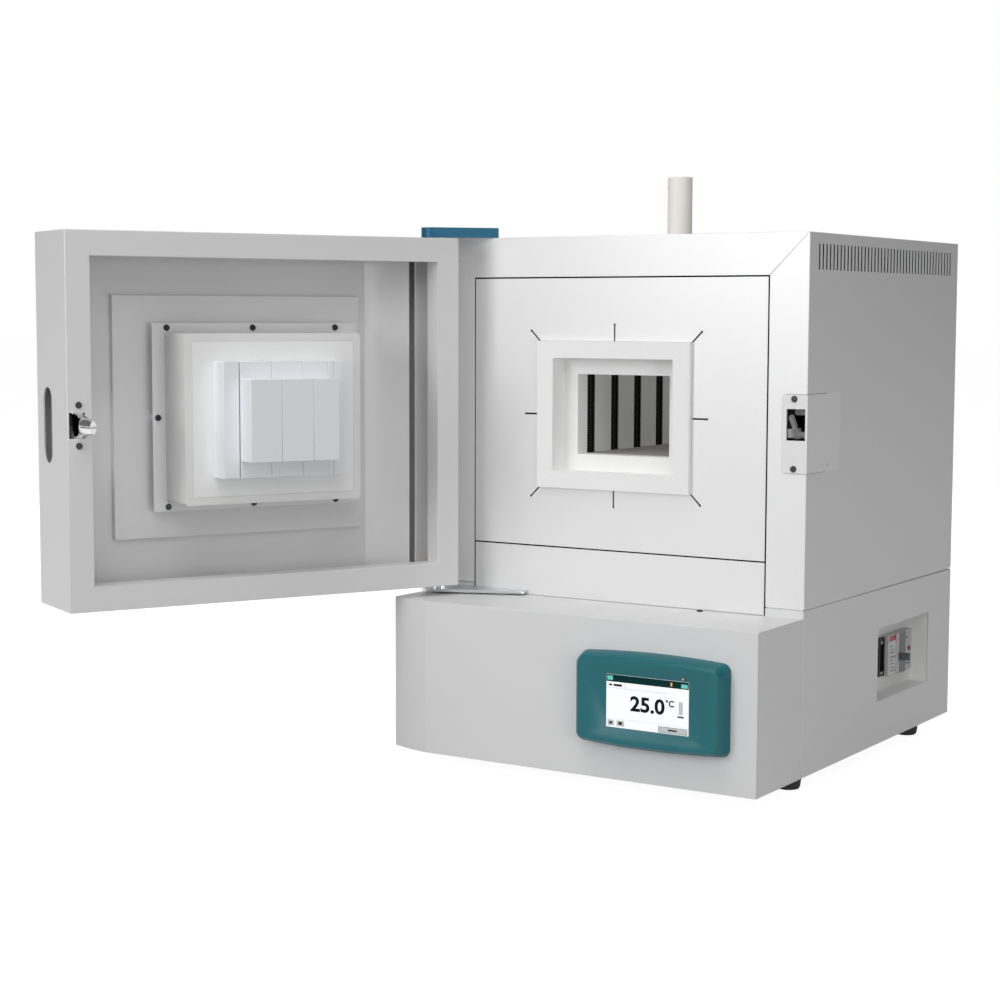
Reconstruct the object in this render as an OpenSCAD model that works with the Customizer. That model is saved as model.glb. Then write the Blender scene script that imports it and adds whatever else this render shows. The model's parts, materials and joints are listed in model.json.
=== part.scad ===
// Bench-top muffle furnace with a swing door, a plug of fibre boards and a touch-screen console.
// Axes: +X to the right, +Y to the back, +Z up. The door stands open in the modelled pose.

/* [Cabinet] */
// Width of the cabinet across its sides
cab_w = 450; // [430:1:520]
// Depth of the cabinet behind its front face
cab_d = 428; // [410:1:520]
// Height of the upper cabinet, which holds the muffle
upper_h = 388; // [375:1:450]
// Height of the lower cabinet, which holds the wiring
base_h = 176; // [165:1:220]
// Thickness of the cabinet's and the door's sheet steel
sheet_t = 1.5; // [1:0.1:2]
// Thickness of the deck between the two cabinets, which shows as their seam
deck_t = 1.2; // [1:0.1:2]
// Width of the folded flanges inside the sheet shells
flange_w = 12; // [8:1:16]
// Width of the frame around the face plate
frame_w = 43.7; // [38:0.1:50]
// Height of the apron below the face plate, from the seam
apron_h = 46.6; // [36:0.1:56]
// Open joint between two sheets that meet edge to edge
joint_gap = 0.3; // [0.2:0.1:1]
// Open joint line around the face plate and beside the apron
plate_gap = 1.6; // [0.6:0.1:2.4]

/* [Console] */
// How far the console stands out in front of the cabinet
console_d = 108; // [104:1:140]
// How far the console's top lies below the seam
console_drop = 8.7; // [6:0.1:14]
// Radius of the bend at the console's and the door's hinge side
bend_r = 182; // [130:1:240]
// Width of that bend, measured from the side
bend_w = 51; // [40:1:60]
// Angle of the crease at which that bend starts
bend_crease = 8; // [0:1:12]
// Width of the joint line between the console's sides and the cabinet
console_joint = 1.2; // [0.6:0.1:2]

/* [Feet] */
// Height of a rubber foot
foot_h = 18; // [12:1:30]
// Radius of a foot at the floor
foot_r = 13; // [10:0.5:18]
// Distance from the cabinet's sides to the centre of a foot
foot_inset = 27; // [22:1:40]

/* [Vents] */
// Height of a vent slot
vent_h = 26.5; // [15:0.5:35]
// Width of a vent slot
vent_w = 4; // [2:0.1:5]
// Distance from one vent slot to the next
vent_pitch = 9.2; // [8:0.1:14]
// Distance from the roof to the top of the slots
vent_drop = 11.5; // [8:0.5:20]
// Clear sheet left at both ends of a row of slots
vent_margin = 25; // [20:1:60]

/* [Muffle] */
// Width of the muffle's collar
collar_w = 188; // [180:1:200]
// Height of the collar
collar_h = 161; // [154:1:172]
// How far the collar stands proud of the face plate
collar_proud = 6; // [3:0.5:8]
// Depth of the collar behind its front
collar_d = 46; // [42:1:60]
// Width of the recess in the collar
recess_w = 148; // [147:1:154]
// Height of the recess
recess_h = 124; // [123:0.5:130]
// Depth of the recess
recess_d = 26; // [25:0.5:30]
// Width of the chamber's mouth
mouth_w = 114; // [112:0.5:120]
// Height of the chamber's mouth
mouth_h = 88; // [86:0.5:96]
// Corner radius of the chamber's mouth
mouth_r = 1.5; // [1:0.5:6]
// Width of the chamber
chamber_w = 150; // [130:1:170]
// Height of the chamber above its hearth plate
chamber_h = 110; // [100:1:130]
// Depth of the chamber behind the collar
chamber_d = 240; // [200:1:260]
// How far the hearth lies below the mouth's lower edge
hearth_drop = 2; // [1:0.5:6]
// Thickness of the hearth plate
hearth_t = 4; // [3:0.5:6]
// Thickness of the hot boards around the chamber
board_t = 25; // [20:1:30]
// Sideways place of the muffle from the cabinet's middle
muffle_x = -1; // [-6:0.5:2]

/* [Heating] */
// Width of a heater groove
groove_w = 18; // [14:0.5:22]
// Depth of a heater groove
groove_d = 12; // [10:0.5:15]
// Distance from one groove to the next
groove_pitch = 54.4; // [40:0.1:60]
// Distance from the chamber's front to the first groove
groove_first = 41; // [30:1:50]
// Radius of a heater coil
coil_r = 5.8; // [3:0.2:5.8]
// Outer diameter of the flue tube
flue_od = 28; // [22:0.5:34]
// Bore of the flue tube
flue_id = 18; // [10:0.5:20]
// Height of the flue tube above the roof
flue_top = 70; // [40:1:100]
// Distance from the cabinet's front to the flue
flue_y = 148; // [100:1:200]

/* [Door] */
// Thickness of the door
door_t = 93; // [90:1:112]
// Gap between the closed door's inner face and the cabinet's face
door_gap = 3.9; // [3:0.1:5]
// Gap between the door and the seam below it
door_low_gap = 2.2; // [2:0.1:5]
// Gap between the door and the roof line above it
door_top_gap = 1.6; // [1.4:0.1:5]
// How far the door's edges lie inside the cabinet's sides
door_inset = 1; // [0.5:0.1:3]
// Width of the door's inner frame
door_rim = 26; // [24:0.5:30]
// Depth of the lip around the opening of the inner frame
lip_d = 25; // [15:1:26]
// Clear space between the door's skin and its liner
liner_gap = 9; // [6:0.5:12]
// Distance from the door's hinge edge to the crease in its liner
liner_w = 75; // [66:1:80]
// Radius of the liner's curve behind that crease
liner_r = 112; // [100:1:140]
// Angle of that crease
liner_crease = 12; // [6:1:14]
// Angle of the door in the modelled pose, from closed
door_open = 116.7; // [60:0.1:130]

/* [Hinge] */
// Distance from the cabinet's left side to the hinge axis
hinge_in = 13.9; // [13:0.1:16]
// Distance from the cabinet's face to the hinge axis
hinge_out = 39.2; // [39:0.1:44]
// Radius of a hinge pin
pin_r = 5; // [4:0.5:6]
// Running clearance between pin and bush, on the radius
pin_clear = 0.05; // [0.02:0.01:0.1]
// Thickness of the two hinge plates
hinge_plate_t = 3; // [2.5:0.5:4]
// Length of the lower hinge plate from the hinge axis
lower_plate_l = 101; // [80:1:120]
// Thickness of the shim under the lower hinge plate
shim_t = 1.8; // [1:0.1:3]
// Height of the cover over the upper hinge plate
hinge_cover_h = 11; // [9:0.5:16]

/* [Plug] */
// Width of the tray that carries the plug
tray_w = 287; // [270:1:310]
// Height of that tray
tray_h = 257; // [230:1:270]
// Height of the tray's edge above the liner
tray_edge = 8; // [5:0.5:12]
// Sideways place of the tray from the plug, towards the free edge
tray_shift = 9; // [0:0.5:10]
// Width of the plug's mounting plate
mount_w = 239; // [238:1:250]
// Height of the mounting plate
mount_h = 199; // [196:1:210]
// Sideways place of the mounting plate from the plug, towards the hinge
mount_shift = 5; // [0:0.5:6]
// Distance between the outer screws along the mounting plate's long edges
mount_screws = 196; // [180:1:204]
// Length of the stand-offs between tray and mounting plate
standoff_l = 13; // [11:0.5:20]
// Width of the plug's steel pan
pan_w = 201; // [199:1:206]
// Height of the pan
pan_h = 178; // [172:1:182]
// Corner radius of the pan
pan_r = 3; // [2:0.5:10]
// Width of the pan's front rim
pan_rim = 8; // [5:0.5:9]
// Gap between the closed plug's face board and the collar
seal_gap = 0.6; // [0.4:0.1:1.5]
// Width of the step that enters the recess
step_w = 138; // [128:1:138]
// Height of that step
step_h = 121; // [110:1:121]
// Clearance between that step and the recess floor
step_clear = 1; // [0.6:0.1:2]
// Width of the step that enters the mouth
tip_w = 100.5; // [96:0.5:101]
// Height of that step
tip_h = 85.5; // [78:0.5:86]
// Length of that step
tip_l = 27; // [18:0.5:27]
// Width of a middle board of the plug
strip_w = 36; // [35.5:0.5:38]
// Sideways place of the middle boards from the plug, towards the hinge
strip_shift = 3; // [0:0.5:3]
// Sideways place of the plug from the muffle, towards the hinge
plug_shift = 2; // [1:0.1:2.5]

/* [Latch] */
// Height of the latch below the muffle's middle
latch_drop = 2.7; // [0:0.1:12]
// Distance from the door's free edge to the tongue's middle
tongue_in = 12.2; // [11.5:0.1:13]
// Thickness of the latch tongue at its root
tongue_t = 11; // [10:0.5:12]
// Height of the tongue at its root
tongue_h = 22; // [18:1:24]
// How far the tongue stands out of the door's inner face
tongue_out = 42; // [38:1:42]
// Length of the waisted neck between the door's inner face and the tongue's nose
neck_l = 15; // [12:1:16]
// Height of the finger slot in the door's edge
slot_h = 78; // [60:0.5:90]
// Width of the finger slot
slot_w = 27; // [22:1:30]
// Distance from the door's inner face to the middle of the finger slot
slot_in = 60; // [60:1:64]
// Height of the finger slot's middle below the latch
slot_drop = 2; // [0:0.5:4]
// Height of the strike plate
strike_h = 81; // [76:1:90]
// Width of the strike plate on the cabinet's face
strike_w = 27; // [26:0.5:32]
// Length of the strike plate on the cabinet's side
strike_l = 83; // [60:1:100]
// Thickness of the strike plate
strike_t = 0.8; // [0.6:0.1:1]
// Corner radius of the strike plate
strike_r = 2.5; // [1:0.5:5]
// Height of the strike window
window_h = 32.5; // [28:0.5:33]
// Width of the strike window
window_w = 21; // [19:0.5:21.5]
// Clear width between window and cabinet side
window_in = 1.6; // [1.5:0.1:2.4]

/* [Control unit] */
// Width of the control unit at its front
unit_w = 162; // [150:1:180]
// Height of the control unit at its ends
unit_h = 84; // [80:1:96]
// How far its top and bottom edges bow out
unit_crown = 3.5; // [2:0.5:7]
// Depth of the control unit
unit_d = 20; // [16:1:26]
// How much wider and higher its back is on each side
unit_flare = 5; // [2:0.5:8]
// Corner radius of the control unit
unit_r = 9; // [6:0.5:14]
// Distance from the cabinet's right side to the unit's middle
unit_in = 115; // [105:1:130]
// Height of the unit's middle above the cabinet's underside
unit_up = 86; // [75:0.5:95]
// Width of the display window
screen_w = 95; // [90:1:104]
// Height of the display window
screen_h = 55; // [50:1:60]
// Depth of the display behind the unit's front
screen_d = 4; // [3:0.5:6]

/* [Switch recess] */
// Length of the recess in the right side
tray_l = 154; // [140:1:160]
// Height of the recess
tray_z = 82; // [74:1:92]
// Depth of the recess
tray_depth = 22; // [18:1:26]
// Distance from the cabinet's face to the recess
tray_y = 203; // [190:1:215]
// Height of the recess above the cabinet's underside
tray_up = 49; // [40:1:60]
// Length of the breaker
breaker_l = 72; // [66:1:80]
// Height of the breaker
breaker_h = 48; // [44:1:52]
// How far the breaker stands out of the recess floor
breaker_out = 8; // [5:0.5:9]
// Travel of the test button
button_travel = 1.5; // [1:0.1:2]

/* [Relay] */
// Length of the relay's heat sink
sink_l = 90; // [60:1:120]
// Width of the heat sink
sink_w = 100; // [80:1:120]
// Height of the heat sink with its fins
sink_h = 34; // [20:1:50]
// Distance from the cabinet's back to the heat sink
sink_in = 78; // [20:1:120]

/* [Hidden] */

$fn = 48;
over = 1;

// Levels and outlines of the cabinet
side_x = cab_w / 2;
seam_z = foot_h + base_h;
top_z = seam_z + upper_h;
base_top = seam_z - deck_t / 2;
upper_low = seam_z + deck_t / 2;
console_top = seam_z - console_drop;
inner_x = side_x - sheet_t;
plate_x = side_x - frame_w;
plate_low = seam_z + apron_h;
plate_high = top_z - frame_w;
back_y = cab_d - sheet_t;

// Levels of the muffle and its insulation
muffle_z = seam_z + upper_h / 2;
collar_back = collar_d - collar_proud;
recess_floor = recess_d - collar_proud;
chamber_back = collar_back + chamber_d;
floor_z = muffle_z - mouth_h / 2 - hearth_drop;
roof_z = floor_z + chamber_h;
core_x = chamber_w / 2 + board_t;
core_low = floor_z - hearth_t - board_t;
core_high = roof_z + board_t;
core_back = chamber_back + board_t;
rail_h = 10.6;
rail_w = 30;
rail_x = 120;
casing_air = 28;
casing_x = side_x - casing_air;
casing_low = upper_low + rail_h;
casing_high = top_z - casing_air;
casing_front = 2 * sheet_t;
casing_back = cab_d - casing_air;
fill_x = casing_x - sheet_t;
fill_low = casing_low + sheet_t;
fill_high = casing_high - sheet_t;
fill_back = casing_back - sheet_t;
seat_clear = 0.2;
probe_r = 3.5;
probe_in = 30;
probe_z = roof_z - 25;
groove_n = floor((chamber_d - groove_first - groove_w - 4) / groove_pitch) + 1;
vent_n = floor((cab_d - 2 * vent_margin) / vent_pitch) + 1;

// The closed door, its hinge axis and its plug, as distances along X and towards the back
door_x0 = -side_x + door_inset;
door_x1 = side_x - door_inset;
door_in = -door_gap;
door_out = door_in - door_t;
door_low = seam_z + door_low_gap;
door_high = top_z - door_top_gap;
hinge_x = -side_x + hinge_in;
hinge_y = -hinge_out;
liner_out = door_out + sheet_t + liner_gap;
tray_face = liner_out + sheet_t + tray_edge;
mount_y = tray_face + standoff_l;
pan_face = -collar_proud - seal_gap;
plug_x = muffle_x - plug_shift;
tray_x = plug_x + tray_shift;
mount_x = plug_x - mount_shift;
step_y = recess_floor - step_clear;
tip_y = step_y + tip_l;
face_w = pan_w - 2 * pan_rim;
face_h = pan_h - 2 * pan_rim;
face_t = 25;

// The latch
latch_z = muffle_z - latch_drop;
tongue_x = door_x1 - tongue_in;
tongue_y = door_in + tongue_out;
rocker_pivot_x = door_x1 - 17;
rocker_pivot_y = door_in - 37;
rocker_r = 6;
rocker_pin_r = 2.5;
slot_y = door_in - slot_in;
slot_z = latch_z - slot_drop;
window_x1 = side_x - window_in;
window_x0 = window_x1 - window_w;
roller_r = 3.5;
roller_y = 30;
roller_z = 0.36 * tongue_h + roller_r + 0.6;
catch_d = 40;
catch_h = 2 * (roller_z + roller_r + 3);
catch_x0 = window_x0 - 4;

// The control unit, the switch recess and the breaker
unit_x = side_x - unit_in;
unit_z = foot_h + unit_up;
unit_y = -console_d;
unit_front = unit_y - unit_d;
glass_y = unit_front + screen_d;
recess_low = foot_h + tray_up;
recess_floor_x = side_x - tray_depth;
breaker_y = tray_y + tray_l - breaker_l / 2 - 17;
breaker_z = recess_low + 40.5;
breaker_face = recess_floor_x + breaker_out;
band_l = 28;
band_out = 2;
toggle_x = breaker_face - 4;
toggle_z = breaker_z - 5;
toggle_r = 5;
toggle_pin_r = 1.5;
toggle_h = 8;
toggle_tilt = 12;
button_y = breaker_y + breaker_l / 2 - 9;
button_z = breaker_z + 1.5;
button_r = 2.5;
port_l = 17;
port_y = breaker_y - breaker_l / 2 - port_l / 2 - 0.3;
port_h = 44;
gland_x = -150;
gland_z = foot_h + 45;
gland_r = 11;
gland_bore_r = 5;
gland_out = 20;

// Screws
screw_r = 2;
head_r = 3.5;
head_h = 1.8;

// The origin lies at the bottom centre of the box around the whole part with its door open
function swung(p) = let (dx = p[0] - hinge_x, dy = p[1] - hinge_y, c = cos(-door_open), s = sin(-door_open))
    [hinge_x + dx * c - dy * s, hinge_y + dx * s + dy * c];
tongue_tip = [tongue_x + tongue_t * 0.3, tongue_y];
reach = [swung([door_x1, door_in]), swung([door_x1, door_out]), swung(tongue_tip)];
low_x = min([for (p = reach) p[0]]);
low_y = min([for (p = reach) p[1]]);
high_x = side_x + strike_t;
high_y = cab_d + gland_out;
origin_x = (low_x + high_x) / 2;
origin_y = (low_y + high_y) / 2;

body_grey = [0.80, 0.80, 0.80];
inner_grey = [0.72, 0.72, 0.73];
steel = [0.62, 0.63, 0.65];
fibre = [0.95, 0.95, 0.94];
teal = [0.10, 0.42, 0.45];
black = [0.08, 0.08, 0.08];

// Moves a child from the cabinet's own axes to the part's origin
module place() {
    translate([-origin_x, -origin_y, 0]) children();
}

// The same for a piece of the door, which is drawn closed
module place_door() {
    place() translate([hinge_x, hinge_y, 0]) rotate([0, 0, -door_open]) translate([-hinge_x, -hinge_y, 0])
        children();
}

// A box between two corners
module slab(low, high) {
    translate(low) cube(high - low);
}

// A sheet cut to a flat outline in X and Z, with its front at y
module upright(y, t) {
    translate([0, y + t, 0]) rotate([90, 0, 0]) linear_extrude(t) children();
}

// A pin or hole that runs along Y from y towards the back
module along_y(x, y, z, r, l) {
    translate([x, y, z]) rotate([-90, 0, 0]) cylinder(r = r, h = l);
}

// A pin or hole that runs along X
module along_x(x, y, z, r, l) {
    translate([x, y, z]) rotate([0, 90, 0]) cylinder(r = r, h = l);
}

// A flat rectangle with round corners, centred
module round_rect(w, h, r) {
    square([w - 2 * r, h], center = true);
    square([w, h - 2 * r], center = true);
    for (x = [-1, 1], y = [-1, 1]) translate([x * (w / 2 - r), y * (h / 2 - r)]) circle(r);
}

// Plan of a box whose front left corner is a wide bend; inset draws the inside of its wall
module bent_plan(x0, x1, front, back, inset) {
    rise = bend_r * cos(bend_crease);
    centre_x = x0 + bend_w + bend_r * sin(bend_crease);
    start_x = centre_x - sqrt(pow(bend_r - inset, 2) - pow(rise - inset, 2));
    difference() {
        translate([x0 + inset, front + inset]) square([x1 - x0 - 2 * inset, back - front - 2 * inset]);
        difference() {
            translate([x0 - over, front - over]) square([start_x - x0 + over, bend_w + over]);
            translate([centre_x, front + rise]) circle(bend_r - inset, $fn = 240);
        }
    }
}

// A pan-head screw whose head sits on a face at the origin and whose shank runs down
module screw(l) {
    difference() {
        cylinder(r1 = head_r, r2 = head_r * 0.8, h = head_h);
        for (a = [0, 90]) rotate([0, 0, a]) translate([-head_r * 0.6, -0.4, head_h - 0.8])
            cube([head_r * 1.2, 0.8, 1]);
    }
    translate([0, 0, -l]) cylinder(r = screw_r, h = l);
}

// ---------- lower cabinet ----------

module foot_places() {
    for (x = [-1, 1], y = [foot_inset, cab_d - foot_inset - 40]) translate([x * (side_x - foot_inset), y, 0])
        children();
}

module base_shell() {
    color(body_grey) difference() {
        union() {
            difference() {
                slab([-side_x, 0, foot_h], [side_x, cab_d, base_top]);
                slab([-inner_x, sheet_t, foot_h + sheet_t], [inner_x, cab_d + over, base_top + over]);
            }
            for (s = [-1, 1]) {
                slab([min(s * inner_x, s * (inner_x - flange_w)), sheet_t, base_top - sheet_t],
                    [max(s * inner_x, s * (inner_x - flange_w)), back_y, base_top]);
                slab([min(s * inner_x, s * (inner_x - flange_w)), back_y - sheet_t, foot_h + sheet_t],
                    [max(s * inner_x, s * (inner_x - flange_w)), back_y, base_top - sheet_t]);
            }
        }
        slab([-plate_x, -over, console_top], [plate_x, sheet_t, base_top + over]);
        slab([-plate_x + 40, -over, foot_h + 30], [plate_x - 40, sheet_t + over, console_top - 30]);
        slab([inner_x - over, tray_y, recess_low], [side_x + over, tray_y + tray_l, recess_low + tray_z]);
        foot_places() translate([0, 0, foot_h - over]) cylinder(r = screw_r + 0.3, h = sheet_t + 2 * over);
    }
}

module lower_rear_panel() {
    color(body_grey) difference() {
        slab([-inner_x + joint_gap, back_y, foot_h + sheet_t + joint_gap],
            [inner_x - joint_gap, cab_d, base_top - joint_gap]);
        along_y(gland_x, back_y - over, gland_z, gland_r - 3 + seat_clear, sheet_t + 2 * over);
        rear_screw_places(foot_h + 20, base_top - 20) along_y(0, -over, 0, screw_r + 0.2, sheet_t + 2 * over);
    }
}

module console_screw_place() {
    translate([unit_x, -9, console_top]) children();
}

module console_shell() {
    console_h = console_top - foot_h;
    color(body_grey) difference() {
        translate([0, 0, foot_h]) linear_extrude(console_h) bent_plan(-side_x, side_x, -console_d, 0, 0);
        translate([0, 0, foot_h + sheet_t]) linear_extrude(console_h - 2 * sheet_t)
            bent_plan(-side_x, side_x, -console_d, sheet_t + over, sheet_t);
        slab([unit_x - screen_w / 2, unit_y - over, unit_z - screen_h / 2],
            [unit_x + screen_w / 2, unit_y + sheet_t + over, unit_z + screen_h / 2]);
        console_screw_place() translate([0, 0, -sheet_t - over]) cylinder(r = screw_r + 0.2, h = sheet_t + 2 * over);
        for (s = [-1, 1]) translate([s * side_x, 0, 0])
            slab([-sheet_t / 2, -console_joint, foot_h - over], [sheet_t / 2, over, console_top + over]);
    }
}

module foot() {
    difference() {
        union() {
            cylinder(r1 = foot_r - 1.5, r2 = foot_r, h = 3);
            translate([0, 0, 3]) cylinder(r1 = foot_r, r2 = foot_r + 2, h = foot_h - 3);
        }
        translate([0, 0, -over]) cylinder(r = head_r + 1, h = foot_h / 2 + over);
        cylinder(r = screw_r + seat_clear, h = foot_h + over);
    }
}

module feet() {
    color(black) foot_places() foot();
}

// ---------- upper cabinet ----------

module vent_row(n, span) {
    for (i = [0 : n - 1]) translate([(span - (n - 1) * vent_pitch) / 2 + i * vent_pitch - vent_w / 2, 0, 0])
        children();
}

module outer_casing() {
    color(body_grey) difference() {
        union() {
            difference() {
                slab([-side_x, sheet_t, upper_low], [side_x, cab_d, top_z]);
                slab([-inner_x, -over, upper_low - over], [inner_x, cab_d + over, top_z - sheet_t]);
            }
            for (s = [-1, 1]) {
                slab([min(s * inner_x, s * (inner_x - flange_w)), casing_front, upper_low],
                    [max(s * inner_x, s * (inner_x - flange_w)), back_y, upper_low + sheet_t]);
                slab([min(s * inner_x, s * (inner_x - flange_w)), back_y - sheet_t, upper_low + sheet_t],
                    [max(s * inner_x, s * (inner_x - flange_w)), back_y, top_z - sheet_t]);
            }
        }
        for (x = [-side_x - over, inner_x - over])
            translate([x, 0, top_z - vent_drop - vent_h]) rotate([0, 0, 90]) mirror([0, 1, 0])
                vent_row(vent_n, cab_d) cube([vent_w, sheet_t + 2 * over, vent_h]);
        translate([muffle_x, flue_y, top_z - sheet_t - over])
            cylinder(r = flue_od / 2 + seat_clear, h = sheet_t + 2 * over);
        hinge_bolt_places() translate([0, 0, top_z - sheet_t - over])
            cylinder(r = screw_r + seat_clear, h = sheet_t + 2 * over);
        along_x(inner_x - over, 53, latch_z - 43.5, 1.6, sheet_t + 2 * over);
    }
}

module rear_screw_places(low, high) {
    for (x = [-1, 1], z = [low, high]) translate([x * (inner_x - flange_w / 2 - joint_gap), back_y, z]) children();
}

module upper_rear_panel() {
    color(body_grey) difference() {
        slab([-inner_x + joint_gap, back_y, upper_low + joint_gap],
            [inner_x - joint_gap, cab_d, top_z - sheet_t - joint_gap]);
        rear_screw_places(upper_low + 20, top_z - 20) along_y(0, -over, 0, screw_r + 0.2, sheet_t + 2 * over);
    }
}

module front_stile(s) {
    backing = 8;
    color(body_grey) difference() {
        union() {
            upright(0, sheet_t) polygon([[s * plate_x, upper_low], [s * side_x, upper_low],
                [s * side_x, top_z], [s * plate_x, plate_high]]);
            slab([min(s * (plate_x - backing), s * (plate_x + backing)), sheet_t, upper_low],
                [max(s * (plate_x - backing), s * (plate_x + backing)), casing_front, plate_high]);
        }
        if (s > 0) {
            slab([window_x0, -over, latch_z - window_h / 2], [window_x1, casing_front + over, latch_z + window_h / 2]);
            strike_screw_places() along_y(0, -over, 0, screw_r + 0.2, casing_front + 2 * over);
        }
    }
}

module front_rail() {
    backing = 8;
    color(body_grey) union() {
        upright(0, sheet_t) polygon([[-side_x + joint_gap, top_z], [side_x - joint_gap, top_z],
            [plate_x - joint_gap, plate_high], [-plate_x + joint_gap, plate_high]]);
        slab([-plate_x + backing + joint_gap, sheet_t, plate_high - backing],
            [plate_x - backing - joint_gap, casing_front, plate_high + backing]);
    }
}

// Expansion slits run from the collar's opening, square from its sides and slanted from its corners
module slit(l) {
    slit_w = 1.8;
    translate([-seat_clear - 0.5, -slit_w / 2]) square([l + seat_clear + 0.5, slit_w]);
    translate([l, 0]) circle(slit_w * 0.75);
}

module face_plate() {
    slit_l = 18;
    half_w = collar_w / 2 + seat_clear;
    half_h = collar_h / 2 + seat_clear;
    color(body_grey) upright(0, sheet_t) difference() {
        translate([-plate_x + plate_gap, plate_low + plate_gap])
            square([2 * (plate_x - plate_gap), plate_high - plate_low - 2 * plate_gap]);
        translate([muffle_x, muffle_z]) {
            square([2 * half_w, 2 * half_h], center = true);
            for (a = [0, 180]) rotate(a) {
                translate([half_w, 0]) slit(slit_l);
                translate([0, half_h]) rotate(90) slit(slit_l);
                translate([half_w, half_h]) rotate(45) slit(0.85 * slit_l);
                translate([-half_w, half_h]) rotate(135) slit(0.85 * slit_l);
            }
        }
    }
}

module apron_panel() {
    low = console_top + joint_gap;
    color(body_grey) union() {
        slab([-plate_x + plate_gap, 0, low], [plate_x - plate_gap, sheet_t, plate_low]);
        slab([-plate_x + plate_gap, sheet_t, low], [plate_x - plate_gap, 2 + flange_w, low + sheet_t]);
    }
}

module mid_deck() {
    deck_in = 2;
    color(inner_grey)
        slab([-side_x + deck_in, deck_in, base_top], [side_x - deck_in, back_y - sheet_t, upper_low]);
}

module casing_rails() {
    color(steel) for (s = [-1, 1]) translate([s * rail_x, 0, upper_low]) difference() {
        slab([-rail_w / 2, 20, 0], [rail_w / 2, casing_back, rail_h]);
        slab([-rail_w / 2 + sheet_t, 20 - over, -over], [rail_w / 2 - sheet_t, casing_back + over, rail_h - sheet_t]);
    }
}

module inner_casing() {
    color(steel) difference() {
        slab([-casing_x, casing_front, casing_low], [casing_x, casing_back, casing_high]);
        slab([-fill_x, casing_front - over, fill_low], [fill_x, fill_back, fill_high]);
        translate([muffle_x, flue_y, fill_high - over]) cylinder(r = flue_od / 2 + seat_clear, h = sheet_t + 2 * over);
        along_y(muffle_x, fill_back - over, probe_z, probe_r + seat_clear, sheet_t + 2 * over);
    }
}

// ---------- insulation and muffle ----------

module insulation_front() {
    color(fibre) difference() {
        slab([-fill_x, casing_front, fill_low], [fill_x, collar_back, fill_high]);
        slab([muffle_x - collar_w / 2, casing_front - over, muffle_z - collar_h / 2],
            [muffle_x + collar_w / 2, collar_back + over, muffle_z + collar_h / 2]);
    }
}

module insulation_bottom() {
    color(fibre) slab([-fill_x, collar_back, fill_low], [fill_x, core_back, core_low]);
}

module insulation_top() {
    color(fibre) difference() {
        slab([-fill_x, collar_back, core_high], [fill_x, core_back, fill_high]);
        translate([muffle_x, flue_y, core_high - over])
            cylinder(r = flue_od / 2 + seat_clear, h = fill_high - core_high + 2 * over);
    }
}

module insulation_left() {
    color(fibre) slab([-fill_x, collar_back, core_low], [muffle_x - core_x, core_back, core_high]);
}

module insulation_right() {
    color(fibre) slab([muffle_x + core_x, collar_back, core_low], [fill_x, core_back, core_high]);
}

module insulation_rear() {
    color(fibre) difference() {
        slab([-fill_x, core_back, fill_low], [fill_x, fill_back, fill_high]);
        along_y(muffle_x, core_back - over, probe_z, probe_r + seat_clear, fill_back - core_back + 2 * over);
    }
}

module muffle_collar() {
    color(fibre) difference() {
        slab([muffle_x - collar_w / 2, -collar_proud, muffle_z - collar_h / 2],
            [muffle_x + collar_w / 2, collar_back, muffle_z + collar_h / 2]);
        translate([muffle_x, 0, muffle_z]) {
            upright(-collar_proud - over, recess_d + over) round_rect(recess_w, recess_h, mouth_r);
            upright(recess_floor - over, collar_d) round_rect(mouth_w, mouth_h, mouth_r);
        }
    }
}

module chamber_floor() {
    color(fibre) slab([muffle_x - core_x, collar_back, core_low],
        [muffle_x + core_x, chamber_back, floor_z - hearth_t]);
}

module chamber_roof() {
    color(fibre) difference() {
        slab([muffle_x - core_x, collar_back, roof_z], [muffle_x + core_x, chamber_back, core_high]);
        translate([muffle_x, flue_y, roof_z - over]) cylinder(r = flue_od / 2 + seat_clear, h = board_t + 2 * over);
    }
}

module chamber_rear() {
    color(fibre) difference() {
        slab([muffle_x - core_x, chamber_back, core_low], [muffle_x + core_x, core_back, core_high]);
        along_y(muffle_x, chamber_back - over, probe_z, probe_r + seat_clear, board_t + 2 * over);
    }
}

module groove_places() {
    for (i = [0 : groove_n - 1]) translate([0, collar_back + groove_first + i * groove_pitch, 0]) children();
}

// The left heater panel; the right one is its mirror image about the muffle's middle
module heater_panel() {
    low = floor_z - hearth_t;
    difference() {
        slab([-core_x, collar_back, low], [-chamber_w / 2, chamber_back, roof_z]);
        groove_places() slab([-chamber_w / 2 - groove_d, -groove_w / 2, low - over],
            [-chamber_w / 2 + over, groove_w / 2, roof_z + over]);
    }
}

module heater_panel_left() {
    color(fibre) translate([muffle_x, 0, 0]) heater_panel();
}

module heater_panel_right() {
    color(fibre) translate([muffle_x, 0, 0]) mirror([1, 0, 0]) heater_panel();
}

module heater_coils() {
    low = floor_z - hearth_t;
    x = chamber_w / 2 + groove_d - coil_r - seat_clear;
    color([0.25, 0.22, 0.20]) translate([muffle_x, 0, 0]) for (s = [-1, 1]) groove_places()
        translate([s * x, 0, low]) cylinder(r = coil_r, h = roof_z - low);
}

module hearth_plate() {
    edge = 2;
    color([0.75, 0.74, 0.72]) slab([muffle_x - chamber_w / 2 + edge, collar_back + edge, floor_z - hearth_t],
        [muffle_x + chamber_w / 2 - edge, chamber_back - edge, floor_z]);
}

module flue_tube() {
    color([0.90, 0.88, 0.84]) translate([muffle_x, flue_y, roof_z]) difference() {
        cylinder(r = flue_od / 2, h = top_z + flue_top - roof_z);
        translate([0, 0, -over]) cylinder(r = flue_id / 2, h = top_z + flue_top - roof_z + 2 * over);
    }
}

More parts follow.
